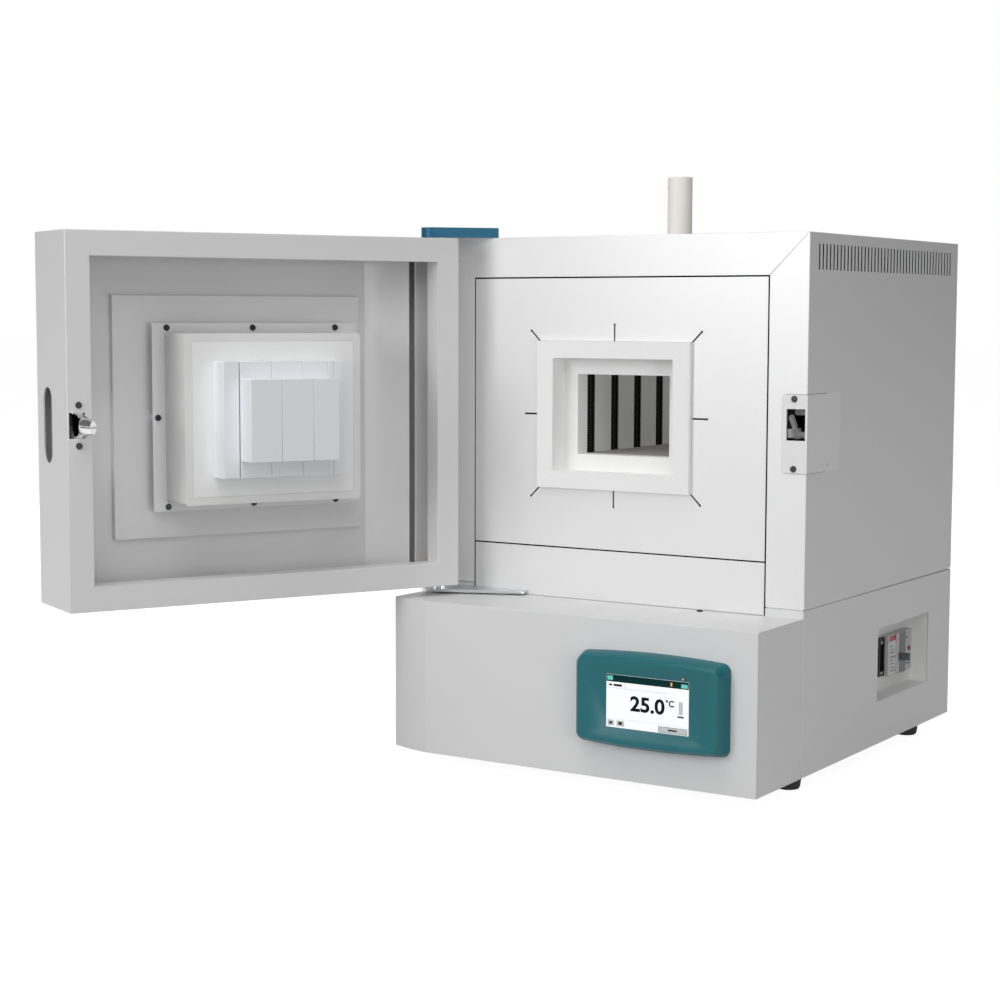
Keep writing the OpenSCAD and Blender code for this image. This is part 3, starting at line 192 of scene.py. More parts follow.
def fibre_group() -> bpy.types.NodeTree:
    """Builds the felted, slightly pitted face of vacuum-formed fibre board.

    Returns:
        The group, which gives a height and a mask of darker pits.
    """
    tree = effect_group("felted_fibres", {"Vector": None, "Felt Scale": 260.0}, ("Height", "Pits"))
    felt = add_node(tree, "TexNoise", i_Detail=5.0, i_Roughness=0.7, i_Distortion=1.2)
    pits = add_node(tree, "TexVoronoi", feature="F1", i_Randomness=1.0)
    ramp = add_node(tree, "MapRange", i_1=0.0, i_2=0.35, i_3=1.0, i_4=0.0)
    pit_size = add_node(tree, "Math", operation="MULTIPLY", i_1=1.3)
    lower = add_node(tree, "Math", operation="MULTIPLY_ADD", i_1=-0.6)
    links, start, end = tree.links, tree.nodes["in"], tree.nodes["out"]
    for node in (felt, pits):
        links.new(start.outputs["Vector"], node.inputs["Vector"])
    links.new(start.outputs["Felt Scale"], felt.inputs["Scale"])
    links.new(start.outputs["Felt Scale"], pit_size.inputs[0])
    links.new(pit_size.outputs[0], pits.inputs["Scale"])
    links.new(pits.outputs["Distance"], ramp.inputs[0])
    links.new(ramp.outputs[0], lower.inputs[0])
    links.new(felt.outputs["Fac"], lower.inputs[2])
    links.new(lower.outputs[0], end.inputs["Height"])
    links.new(ramp.outputs[0], end.inputs["Pits"])
    return tree


def wear_and_highlight_group() -> bpy.types.NodeTree:
    """Builds a mask of the narrow lines over edges, which are lightened as edge wear where a coating thins and as
    a painted edge highlight.

    Returns:
        The group, which gives a mask from 0 to 1.
    """
    tree = effect_group("edge_wear_and_highlight", {"Radius": 0.0008, "Amount": 0.5}, ("Mask",))
    rounded = add_node(tree, "Bevel", samples=4)
    flat = add_node(tree, "NewGeometry")
    dot = add_node(tree, "VectorMath", operation="DOT_PRODUCT")
    spread = add_node(tree, "MapRange", i_1=0.995, i_2=0.86, i_3=0.0, i_4=1.0)
    amount = add_node(tree, "Math", operation="MULTIPLY", use_clamp=True)
    links, start, end = tree.links, tree.nodes["in"], tree.nodes["out"]
    links.new(start.outputs["Radius"], rounded.inputs["Radius"])
    links.new(rounded.outputs["Normal"], dot.inputs[0])
    links.new(flat.outputs["True Normal"], dot.inputs[1])
    links.new(dot.outputs["Value"], spread.inputs[0])
    links.new(spread.outputs[0], amount.inputs[0])
    links.new(start.outputs["Amount"], amount.inputs[1])
    links.new(amount.outputs[0], end.inputs["Mask"])
    return tree


def dust_group() -> bpy.types.NodeTree:
    """Builds a mask of the dust that settles on faces that look up.

    Returns:
        The group, which gives a mask from 0 to 1.
    """
    tree = effect_group("settled_dust", {"Vector": None, "Amount": 0.3}, ("Mask",))
    flat = add_node(tree, "NewGeometry")
    axis = add_node(tree, "SeparateXYZ")
    up = add_node(tree, "MapRange", i_1=0.75, i_2=1.0, i_3=0.0, i_4=1.0)
    clouds = add_node(tree, "TexNoise", i_Scale=38.0, i_Detail=6.0, i_Roughness=0.75)
    both = add_node(tree, "Math", operation="MULTIPLY")
    amount = add_node(tree, "Math", operation="MULTIPLY", use_clamp=True)
    links, start, end = tree.links, tree.nodes["in"], tree.nodes["out"]
    links.new(flat.outputs["True Normal"], axis.inputs[0])
    links.new(axis.outputs["Z"], up.inputs[0])
    links.new(start.outputs["Vector"], clouds.inputs["Vector"])
    links.new(up.outputs[0], both.inputs[0])
    links.new(clouds.outputs["Fac"], both.inputs[1])
    links.new(both.outputs[0], amount.inputs[0])
    links.new(start.outputs["Amount"], amount.inputs[1])
    links.new(amount.outputs[0], end.inputs["Mask"])
    return tree


def painted_groove_shade_group() -> bpy.types.NodeTree:
    """Builds a mask of the grooves, which lie further out sideways than the walls' own faces; the grooves are
    darkened with it as painted shade.

    Returns:
        The group, which gives a mask from 0 on the walls to 1 in the grooves.
    """
    tree = effect_group("groove_painted_shade", {"Vector": None, "Middle": 0.0, "Half Width": 0.06}, ("Mask",))
    axis = add_node(tree, "SeparateXYZ")
    off = add_node(tree, "Math", operation="SUBTRACT")
    size = add_node(tree, "Math", operation="ABSOLUTE")
    past = add_node(tree, "Math", operation="SUBTRACT")
    ramp = add_node(tree, "MapRange", i_1=0.0003, i_2=0.0016, i_3=0.0, i_4=1.0)
    links, start, end = tree.links, tree.nodes["in"], tree.nodes["out"]
    links.new(start.outputs["Vector"], axis.inputs[0])
    links.new(axis.outputs["X"], off.inputs[0])
    links.new(start.outputs["Middle"], off.inputs[1])
    links.new(off.outputs[0], size.inputs[0])
    links.new(size.outputs[0], past.inputs[0])
    links.new(start.outputs["Half Width"], past.inputs[1])
    links.new(past.outputs[0], ramp.inputs[0])
    links.new(ramp.outputs[0], end.inputs["Mask"])
    return tree


EFFECTS = {"painted_groove_shade": painted_groove_shade_group(), "grain": grain_group(), "brushed": brushed_group(), "fibre": fibre_group(),
           "wear_and_highlight": wear_and_highlight_group(), "dust": dust_group()}


# ---------- finishes ----------

class Surface(Enum):
    """Ways in which a surface is made."""

    COATED = "powder coat or paint"
    METAL = "bare metal"
    FIBRE = "fibre board"
    FIRED = "fired ceramic or oxidised wire"
    MOULDED = "plastic or rubber"
    LIT = "screen"


@dataclass(frozen=True)
class Finish:
    """One finish: its colour, its gloss and its texture in real units."""

    name: str
    colour: Colour
    surface: Surface
    roughness: float
    grain_mm: float = 1.1
    relief_mm: float = 0.012
    patches: float = 0.03
    # Lightens the edges: edge wear with a painted edge highlight
    wear_and_highlight: float = 0.0
    dust: float = 0.0
    # Emission: the screens' and the lamp's own light, but painted light on the heater panel fibre and the catch
    # rollers
    glow: float = 0.0
    gloss: float = 0.5
    ior: float = 1.5
    # Darkens the heater panels' grooves as painted shade
    painted_groove_shade: bool = False

    def material(self) -> bpy.types.Material:
        """Gives the material, which is built the first time.

        Returns:
            The material.
        """
        found = bpy.data.materials.get(self.name)
        return found if found else self._build()

    def _build(self) -> bpy.types.Material:
        """Builds the node tree from the shared effects.

        Returns:
            The material.
        """
        mat = bpy.data.materials.new(self.name)
        mat.use_nodes = True
        tree = mat.node_tree
        shader = tree.nodes["Principled BSDF"]
        shader.inputs["Metallic"].default_value = 1.0 if self.surface is Surface.METAL else 0.0
        shader.inputs["Specular IOR Level"].default_value = self.gloss
        shader.inputs["IOR"].default_value = self.ior
        where = add_node(tree, "TexCoord").outputs["Object"]
        height, mask = self._texture(tree, where)
        bump = add_node(tree, "Bump", i_Strength=1.0, i_Distance=self.relief_mm * MM)
        spread = COATED_SPREAD if self.surface is Surface.COATED else BARE_SPREAD
        smooth, dull = max(0.02, self.roughness - spread), self.roughness + spread
        rough = add_node(tree, "MapRange", i_3=smooth, i_4=dull)
        colour = self._layers(tree, where, self._tone(tree, mask))
        tree.links.new(height, bump.inputs["Height"])
        tree.links.new(bump.outputs["Normal"], shader.inputs["Normal"])
        tree.links.new(mask, rough.inputs[0])
        tree.links.new(rough.outputs[0], shader.inputs["Roughness"])
        tree.links.new(colour, shader.inputs["Base Color"])
        if self.glow:
            shader.inputs["Emission Strength"].default_value = self.glow
            shader.inputs["Emission Color"].default_value = (*self.colour, 1.0)
        # The painted glow of the heater panels takes its colour from the painted groove shade
        if self.painted_groove_shade:
            tree.links.new(colour, shader.inputs["Emission Color"])
        return mat

    def _tone(self, tree: bpy.types.NodeTree, mask: Socket) -> Socket:
        """Varies the colour a little in patches.

        Args:
            tree: The material's node tree.
            mask: The socket of the patchy mask.

        Returns:
            The colour's socket.
        """
        tone = add_node(tree, "MixRGB", blend_type="MIX")
        tone.inputs[1].default_value = (*[c * (1.0 - self.patches) for c in self.colour], 1.0)
        tone.inputs[2].default_value = (*[min(1.0, c * (1.0 + self.patches)) for c in self.colour], 1.0)
        tree.links.new(mask, tone.inputs[0])
        return tone.outputs[0]

    def _layers(self, tree: bpy.types.NodeTree, where: Socket, colour: Socket) -> Socket:
        """Lays edge wear with a painted edge highlight, dust, and the painted shade of the grooves over the
        colour, as far as the finish has them.

        Args:
            tree: The material's node tree.
            where: The coordinates to texture by.
            colour: The socket of the clean colour.

        Returns:
            The socket of the colour with all of it.
        """
        # Lighter along the edges: edge wear with a painted edge highlight
        if self.wear_and_highlight:
            edge = add_node(tree, "Group", node_tree=EFFECTS["wear_and_highlight"])
            edge.inputs["Amount"].default_value = self.wear_and_highlight
            lighter = (*[min(1.0, c * 1.1 + 0.05) for c in self.colour], 1.0)
            colour = self._mix(tree, edge.outputs["Mask"], colour, lighter)
        if self.dust:
            settled = add_node(tree, "Group", node_tree=EFFECTS["dust"])
            settled.inputs["Amount"].default_value = self.dust
            tree.links.new(where, settled.inputs["Vector"])
            colour = self._mix(tree, settled.outputs["Mask"], colour, DUST_COLOUR)
        # Painted shade in the grooves of the heater panels
        if self.painted_groove_shade:
            low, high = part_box("heater_panel_left")[1].x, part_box("heater_panel_right")[0].x
            deep = add_node(tree, "Group", node_tree=EFFECTS["painted_groove_shade"])
            deep.inputs["Middle"].default_value = (low + high) / 2
            deep.inputs["Half Width"].default_value = abs(high - low) / 2
            tree.links.new(where, deep.inputs["Vector"])
            colour = self._mix(tree, deep.outputs["Mask"], colour, GROOVE_SHADE_COLOUR)
        return colour

    def _texture(self, tree: bpy.types.NodeTree, where: Socket) -> tuple[Socket, Socket]:
        """Adds the texture that suits the surface.

        Args:
            tree: The material's node tree.
            where: The coordinates to texture by.

        Returns:
            The sockets of the height and of the patchy mask.
        """
        grain = add_node(tree, "Group", node_tree=EFFECTS["grain"])
        grain.inputs["Grain Scale"].default_value = 1.0 / (self.grain_mm * MM)
        tree.links.new(where, grain.inputs["Vector"])
        if self.surface is Surface.METAL:
            lines = add_node(tree, "Group", node_tree=EFFECTS["brushed"])
            tree.links.new(where, lines.inputs["Vector"])
            return lines.outputs["Height"], grain.outputs["Patches"]
        if self.surface is Surface.FIBRE:
            felt = add_node(tree, "Group", node_tree=EFFECTS["fibre"])
            felt.inputs["Felt Scale"].default_value = 1.0 / (self.grain_mm * MM)
            tree.links.new(where, felt.inputs["Vector"])
            return felt.outputs["Height"], felt.outputs["Pits"]
        return grain.outputs["Height"], grain.outputs["Patches"]

    @staticmethod
    def _mix(tree: bpy.types.NodeTree, mask: Socket, under: Socket, over: Paint) -> Socket:
        """Lays one colour over another where a mask says.

        Args:
            tree: The material's node tree.
            mask: The mask's socket.
            under: The socket of the colour below.
            over: The colour on top.

        Returns:
            The mixed colour's socket.
        """
        mix = add_node(tree, "MixRGB", blend_type="MIX")
        mix.inputs[2].default_value = over
        tree.links.new(mask, mix.inputs[0])
        tree.links.new(under, mix.inputs[1])
        return mix.outputs[0]


CASE = Finish("case_powder_coat", (0.76, 0.76, 0.765), Surface.COATED, 0.38, 1.6, 0.010, 0.012,
              wear_and_highlight=0.25, dust=0.05)
FRONT = Finish("face_plate_coat", (0.77, 0.77, 0.772), Surface.COATED, 0.31, 2.2, 0.006, 0.004, wear_and_highlight=0.2,
               gloss=1.0, ior=1.75)
DOOR_COAT = Finish("door_powder_coat", (0.76, 0.76, 0.76), Surface.COATED, 0.38, 1.6, 0.010, 0.012, wear_and_highlight=0.25)
LINER = Finish("liner_coat", (0.80, 0.80, 0.81), Surface.COATED, 0.36, 2.0, 0.012, 0.02, gloss=0.8)
PAN = Finish("pan_coat", (0.80, 0.80, 0.79), Surface.COATED, 0.42, 1.4, 0.010, 0.015, wear_and_highlight=0.2)
TRAY = Finish("switch_tray_coat", (0.86, 0.86, 0.855), Surface.COATED, 0.45, 1.4, 0.010, 0.015)
STRIKE = Finish("strike_coat", (0.82, 0.82, 0.82), Surface.COATED, 0.38, 1.4, 0.008, 0.01, wear_and_highlight=0.3)
HOT_FIBRE = Finish("hot_face_fibre", (0.95, 0.95, 0.945), Surface.FIBRE, 0.92, 2.4, 0.10, 0.035)
TIP_FIBRE = Finish("plug_fibre", (0.90, 0.92, 0.945), Surface.FIBRE, 0.92, 2.0, 0.07, 0.03)
BACK_FIBRE = Finish("back_up_fibre", (0.86, 0.85, 0.81), Surface.FIBRE, 0.95, 4.0, 0.25, 0.06)
# Heater panel fibre: its glow is painted light, and its grooves get painted shade
WALL_FIBRE = Finish("heater_panel_fibre", (0.88, 0.88, 0.88), Surface.FIBRE, 0.93, 2.6, 0.12, 0.06,
                    glow=0.07, painted_groove_shade=True)
WIRE = Finish("oxidised_wire", (0.018, 0.016, 0.015), Surface.FIRED, 0.55, 0.8, 0.02, 0.25)
HEARTH = Finish("hearth_tile", (0.62, 0.60, 0.56), Surface.FIRED, 0.75, 1.5, 0.03, 0.06)
FLUE = Finish("flue_ceramic", (0.78, 0.755, 0.70), Surface.FIRED, 0.62, 3.0, 0.03, 0.06)
STEEL = Finish("sheet_steel", (0.60, 0.61, 0.63), Surface.METAL, 0.36, relief_mm=0.004, patches=0.05)
ZINC = Finish("zinc_plated_steel", (0.74, 0.75, 0.76), Surface.METAL, 0.34, relief_mm=0.004, patches=0.05)
CHROME = Finish("polished_steel", (0.72, 0.72, 0.73), Surface.METAL, 0.14, relief_mm=0.001, patches=0.03)
SCREW = Finish("plated_screws", (0.06, 0.06, 0.062), Surface.METAL, 0.22, relief_mm=0.002, patches=0.08)
# Dark line round the strike plate: the painted shadow of its edge
PAINTED_EDGE_SHADOW = Finish("sheet_edge_shadow", (0.13, 0.13, 0.135), Surface.COATED, 0.60, 1.4, 0.006, 0.05)
# Catch rollers: the glow is painted light, and the strong patches are painted highlights and shade
ROLLER = Finish("catch_steel", (0.72, 0.72, 0.71), Surface.MOULDED, 0.25, 1.4, 0.010, 0.45, glow=0.09,
                gloss=1.0)
# Near black put where there is only shade: painted shade in the joints, behind the vents, in the latch case and on
# the front insulation
PAINTED_SHADE_BLACK = Finish("shadowed_steel", (0.009, 0.009, 0.010), Surface.COATED, 0.80, 1.4, 0.010, 0.05, gloss=0.0)
BRASS = Finish("turned_brass", (0.65, 0.47, 0.20), Surface.METAL, 0.30, relief_mm=0.002, patches=0.06)
ALUMINIUM = Finish("extruded_aluminium", (0.70, 0.71, 0.72), Surface.METAL, 0.35, relief_mm=0.003,
                   patches=0.04)
RUBBER = Finish("foot_rubber", (0.018, 0.018, 0.018), Surface.MOULDED, 0.70, 0.9, 0.02, 0.15, dust=0.3)
TEAL = Finish("teal_moulding", (0.006, 0.140, 0.168), Surface.MOULDED, 0.34, 0.7, 0.008, 0.04, wear_and_highlight=0.3,
              gloss=0.35)
TEAL_PAINT = Finish("teal_paint", (0.001, 0.040, 0.082), Surface.COATED, 0.34, 1.2, 0.006, 0.03,
                    wear_and_highlight=0.25, gloss=0.3)
BLACK = Finish("black_moulding", (0.008, 0.008, 0.009), Surface.MOULDED, 0.45, 0.8, 0.01, 0.15, gloss=0.2)
DARK = Finish("dark_grey_moulding", (0.085, 0.09, 0.10), Surface.MOULDED, 0.42, 0.8, 0.012, 0.10)
BREAKER = Finish("breaker_moulding", (0.56, 0.57, 0.56), Surface.MOULDED, 0.48, 0.8, 0.012, 0.05)
PALE = Finish("pale_moulding", (0.72, 0.72, 0.70), Surface.MOULDED, 0.48, 0.8, 0.012, 0.04)
RED = Finish("red_moulding", (0.42, 0.025, 0.03), Surface.MOULDED, 0.45, 0.8, 0.010, 0.08)
AMBER = Finish("amber_button", (0.30, 0.075, 0.015), Surface.MOULDED, 0.35, 0.6, 0.008, 0.10)
BOARD = Finish("solder_mask", (0.02, 0.12, 0.06), Surface.MOULDED, 0.35, 0.5, 0.008, 0.10)
SCREEN_WHITE = Finish("screen_white", (0.88, 0.90, 0.91), Surface.LIT, 0.30, 0.4, 0.0005, 0.01,
                      glow=0.36, gloss=0.1)
SCREEN_GREY = Finish("screen_grey", (0.56, 0.59, 0.60), Surface.LIT, 0.22, 0.4, 0.0005, 0.01, glow=0.12)
SCREEN_HEAD = Finish("screen_header", (0.002, 0.035, 0.036), Surface.LIT, 0.30, 0.4, 0.0005, 0.05, gloss=0.05)
SCREEN_INK = Finish("screen_ink", (0.004, 0.010, 0.014), Surface.LIT, 0.30, 0.4, 0.0005, 0.05, gloss=0.05)
SCREEN_MINT = Finish("screen_mint", (0.12, 0.56, 0.48), Surface.LIT, 0.22, 0.4, 0.0005, 0.05, glow=0.25)
SCREEN_AMBER = Finish("screen_amber", (0.80, 0.38, 0.06), Surface.LIT, 0.22, 0.4, 0.0005, 0.05, glow=0.4)

NODE_FINISH: dict[str, Finish] = {
    "base_shell": CASE, "console_shell": CASE, "outer_casing": CASE, "upper_rear_panel": CASE,
    "lower_rear_panel": CASE, "front_stile_left": FRONT, "front_stile_right": FRONT, "front_rail": FRONT,
    "face_plate": FRONT, "apron_panel": FRONT, "mid_deck": STEEL, "casing_rails": STEEL,
    # The front insulation is near black as painted shade
    "inner_casing": STEEL, "insulation_front": PAINTED_SHADE_BLACK,
    "insulation_bottom": BACK_FIBRE, "insulation_top": BACK_FIBRE,
    "insulation_left": BACK_FIBRE, "insulation_right": BACK_FIBRE, "insulation_rear": BACK_FIBRE,
    "muffle_collar": HOT_FIBRE, "chamber_floor": WALL_FIBRE, "chamber_roof": WALL_FIBRE,
    "chamber_rear": WALL_FIBRE, "heater_panel_left": WALL_FIBRE, "heater_panel_right": WALL_FIBRE,
    "heater_coils": WIRE, "hearth_plate": HEARTH, "flue_tube": FLUE, "thermocouple": FLUE, "feet": RUBBER,
    "cabinet_screws": SCREW, "door_screws": SCREW, "control_housing": TEAL, "display_glass": SCREEN_WHITE,
    "control_board": BOARD, "switch_tray": TRAY, "breaker_body": BREAKER, "breaker_toggle": DARK,
    "test_button": AMBER, "terminal_port": BLACK, "strike_plate": STRIKE, "catch_block": BLACK,
    "catch_rollers": ROLLER, "top_hinge_bracket": STEEL, "top_hinge_cover": TEAL_PAINT,
    "lower_hinge_plate": ZINC, "hinge_pins": CHROME, "relay_heatsink": ALUMINIUM, "cable_gland": BLACK,
    "door_shell": DOOR_COAT, "door_liner": LINER, "hinge_channel": LINER, "hinge_bushes": BRASS,
    "plug_tray": LINER, "plug_mounting_plate": LINER, "plug_pan": PAN, "plug_face_board": HOT_FIBRE,
    # The latch case is near black as painted shade, seen through the latch slot
    "plug_core_boards": TIP_FIBRE, "latch_case": PAINTED_SHADE_BLACK, "latch_rocker": CHROME,
}


# ---------- pieces ----------


def body_of(node: str) -> str:
    """Gives the body that a node rides on."""
    bodies = frame["record"]["behaviour"]["bodies"]
    return next(body for body, nodes in bodies.items() if node in nodes)


def points_of(node: str, body: str = CABINET) -> list[Vector]:
    """Gives a node's points in millimetres on the cabinet's own axes.

    Args:
        node: The node.
        body: The body that it rides on, which says where its axes lie.

    Returns:
        The points.
    """
    back = PLACE[body].inverted()
    return [back @ v.co for v in frame["nodes"][node].data.vertices]


def box_of(points: list[Vector]) -> tuple[Vector, Vector]:
    """Gives the lowest and the highest corner of the box round some points."""
    return (Vector([min(p[i] for p in points) for i in range(3)]),
            Vector([max(p[i] for p in points) for i in range(3)]))


def place_of(node: str) -> tuple[Vector, Vector]:
    """Gives the corners of a cabinet node's box in millimetres on the cabinet's own axes."""
    return box_of(points_of(node))


def add_object(name: str, data: bpy.types.ID) -> bpy.types.Object:
    """Puts data into the scene.

    Args:
        name: The object's name.
        data: Its mesh, curve, lamp or camera.

    Returns:
        The object.
    """
    made = bpy.data.objects.new(name, data)
    bpy.context.scene.collection.objects.link(made)
    return made


def set_piece(name: str, bm: bmesh.types.BMesh, finish: Finish, body: str,
              matrix: Matrix | None = None) -> bpy.types.Object:
    """Turns a bmesh into a finished piece.

    Args:
        name: The piece's name.
        bm: The mesh, which is freed.
        finish: Its finish.
        body: The body that it rides on.
        matrix: Where the mesh goes, if it isn't in the shared frame yet.

    Returns:
        The object.
    """
    if matrix is not None:
        bm.transform(matrix)
    mesh = bpy.data.meshes.new(name)
    bm.to_mesh(mesh)
    bm.free()
    mesh.materials.append(finish.material())
    piece = add_object(name, mesh)
    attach(piece, body)
    LOG.info("%s: %d faces on %s", name, len(mesh.polygons), body)
    return piece


def smooth_curves(bm: bmesh.types.BMesh, limit_deg: float) -> None:
    """Shades the faces of curved runs smooth and leaves flat ones flat.

    Args:
        bm: The mesh.
        limit_deg: The largest angle between two faces of a curved run.
    """
    limit = math.radians(limit_deg)
    for edge in bm.edges:
        angle = edge.calc_face_angle(0.0)
        edge.smooth = angle < limit
        if math.radians(BEND_DEG) < angle < limit:
            for face in edge.link_faces:
                face.smooth = True


def eased_copy(node: str, width_mm: float, min_edge_mm: float = 0.0, segments: int = 2,
               curve_deg: float = SHARP_DEG) -> bpy.types.Object:
    """Replaces a node by a copy of itself with its sharp edges rounded.

    Args:
        node: The node.
        width_mm: The width of the rounding.
        min_edge_mm: Edges shorter than this stay sharp.
        segments: Faces across the rounding.
        curve_deg: The largest angle between two faces of a curved run.

    Returns:
        The new piece.
    """
    bm = bmesh.new()
    bm.from_mesh(frame["nodes"][node].data)
    bmesh.ops.remove_doubles(bm, verts=bm.verts, dist=MERGE_M)
    bmesh.ops.dissolve_limit(bm, angle_limit=math.radians(FLAT_DEG), verts=bm.verts, edges=bm.edges)
    smooth_curves(bm, curve_deg)
    sharp = [e for e in bm.edges if e.is_manifold and e.calc_face_angle(0.0) > math.radians(SHARP_DEG)
             and e.calc_length() > min_edge_mm * MM]
    made = bmesh.ops.bevel(bm, geom=sharp, offset=width_mm * MM, offset_type="OFFSET", segments=segments,
                           profile=0.5, affect="EDGES", clamp_overlap=True, material=-1)
    for face in made["faces"]:
        face.smooth = True
    piece = set_piece(node + "_eased", bm, NODE_FINISH[node], body_of(node))
    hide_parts(node)
    return piece


def add_slab(bm: bmesh.types.BMesh, low: Point, high: Point, bevel_mm: float = 0.0) -> None:
    """Adds a box between two corners, with its edges rounded if asked.

    Args:
        bm: The mesh.
        low: The lowest corner.
        high: The highest corner.
        bevel_mm: The width of the rounding.
    """
    middle = (Vector(low) + Vector(high)) / 2
    size = Vector(high) - Vector(low)
    spot = Matrix.Translation(middle) @ Matrix.Diagonal((*size, 1.0))
    made = bmesh.ops.create_cube(bm, size=1.0, matrix=spot)
    if bevel_mm:
        edges = list({e for v in made["verts"] for e in v.link_edges})
        done = bmesh.ops.bevel(bm, geom=edges, offset=bevel_mm, segments=2, profile=0.5, affect="EDGES",
                               clamp_overlap=True, material=-1)
        for face in done["faces"]:
            face.smooth = True


def add_stud(bm: bmesh.types.BMesh, base: Point, length: float, radius: float, bevel_mm: float,
             sides: int = 32) -> None:
    """Adds a round stud that stands out towards -Y, with its rims rounded.

    Args:
        bm: The mesh.
        base: The middle of its back end.
        length: How far it stands out.
        radius: Its radius.
        bevel_mm: The width of the rounding of its rims.
        sides: Faces around it.
    """
    spot = (Matrix.Translation(base) @ Matrix.Rotation(math.pi / 2, 4, "X")
            @ Matrix.Translation((0.0, 0.0, length / 2)))
    made = bmesh.ops.create_cone(bm, cap_ends=True, cap_tris=False, segments=sides, radius1=radius,
                                 radius2=radius, depth=length, matrix=spot)
    for face in {f for v in made["verts"] for f in v.link_faces}:
        face.smooth = len(face.verts) == 4
    rims = [e for e in {e for v in made["verts"] for e in v.link_edges}
            if any(len(f.verts) > 4 for f in e.link_faces)]
    done = bmesh.ops.bevel(bm, geom=rims, offset=bevel_mm, segments=2, profile=0.5, affect="EDGES",
                           clamp_overlap=True, material=-1)
    for face in done["faces"]:
        face.smooth = True


def curve_mesh(curve: bpy.types.Curve) -> bmesh.types.BMesh:
    """Turns a curve or a text into a mesh.

    Args:
        curve: The curve.

    Returns:
        Its mesh, in the curve's own units.
    """
    holder = add_object(curve.name, curve)
    bpy.context.view_layer.update()
    shape = holder.evaluated_get(bpy.context.evaluated_depsgraph_get())
    mesh = bpy.data.meshes.new_from_object(shape)
    bpy.data.objects.remove(holder)
    bm = bmesh.new()
    bm.from_mesh(mesh)
    bpy.data.meshes.remove(mesh)
    return bm


def words(text: str, height_mm: float, depth_mm: float) -> bmesh.types.BMesh:
    """Makes raised characters in the X-Z plane, facing -Y, centred on the origin.

    Args:
        text: The characters.
        height_mm: The font size.
        depth_mm: How far they stand out.

    Returns:
        The mesh, in millimetres.
    """
    curve = bpy.data.curves.new("digits", "FONT")
    curve.body = text
    curve.size = height_mm
    curve.extrude = depth_mm / 2
    curve.offset = height_mm * 0.030
    curve.resolution_u = 4
    curve.align_x = "CENTER"
    curve.align_y = "CENTER"
    bm = curve_mesh(curve)
    bmesh.ops.rotate(bm, verts=bm.verts, cent=(0, 0, 0), matrix=Matrix.Rotation(math.pi / 2, 3, "X"))
    return bm


# ---------- sub-assemblies ----------

@dataclass
class Cabinet:
    """The sheet-metal cabinet, its console, feet and flue."""

    fold_mm: float = 0.9
    panel_edge_mm: float = 0.4
    front_edge_mm: float = 0.35
    long_edge_mm: float = 60.0
    short_edge_mm: float = 12.0
    tube_edge_mm: float = 1.2
    gap_mm: float = 1.6
    gap_depth_mm: tuple[float, float] = (0.5, 1.3)
    vent_row_mm: tuple[float, float] = (20.0, 12.0)
    vent_high_mm: float = 30.0
    vent_drop_mm: float = 10.0
    vent_depth_mm: float = 0.55
    vent_sheet_mm: float = 0.9

    def build(self) -> None:
        """Rounds the folds of the sheet metal and the ends of the flue and the feet."""
        eased_copy("console_shell", self.fold_mm, self.short_edge_mm, curve_deg=6.0)
        for node in ("base_shell", "outer_casing"):
            eased_copy(node, self.fold_mm, self.long_edge_mm)
        eased_copy("flue_tube", self.tube_edge_mm)
        eased_copy("feet", 0.8)
        eased_copy("cable_gland", 0.4)
        for node in ("upper_rear_panel", "lower_rear_panel"):
            eased_copy(node, self.panel_edge_mm, self.long_edge_mm)
        self._joints()
        self._vents()
        for node in ("front_stile_left", "front_stile_right", "front_rail", "face_plate", "apron_panel"):
            eased_copy(node, self.front_edge_mm, self.short_edge_mm)

    def _joints(self) -> None:
        """Puts near-black sheets in the depths of the open joints round the face plate as painted shade, so that
        they read as black lines.
        """
        plate, apron = place_of("face_plate"), place_of("apron_panel")
        near, far = self.gap_depth_mm
        bm = bmesh.new()
        for left in (plate[0].x - self.gap_mm, plate[1].x):
            add_slab(bm, (left, near, apron[0].z), (left + self.gap_mm, far, plate[1].z + self.gap_mm))
        for low in (plate[1].z, plate[0].z - self.gap_mm):
            add_slab(bm, (plate[0].x, near, low), (plate[1].x, far, low + self.gap_mm))
        set_piece("joint_shadows", bm, PAINTED_SHADE_BLACK, CABINET, PLACE[CABINET])

    def _vents(self) -> None:
        """Puts a near-black sheet behind the vents of both sides as painted shade."""
        casing = place_of("outer_casing")
        high = casing[1].z - self.vent_drop_mm
        front, back = self.vent_row_mm[0], casing[1].y - self.vent_row_mm[1]
        bm = bmesh.new()
        for x in (casing[1].x - self.vent_depth_mm - self.vent_sheet_mm, casing[0].x + self.vent_depth_mm):
            add_slab(bm, (x, front, high - self.vent_high_mm), (x + self.vent_sheet_mm, back, high))
        set_piece("vent_shadows", bm, PAINTED_SHADE_BLACK, CABINET, PLACE[CABINET])


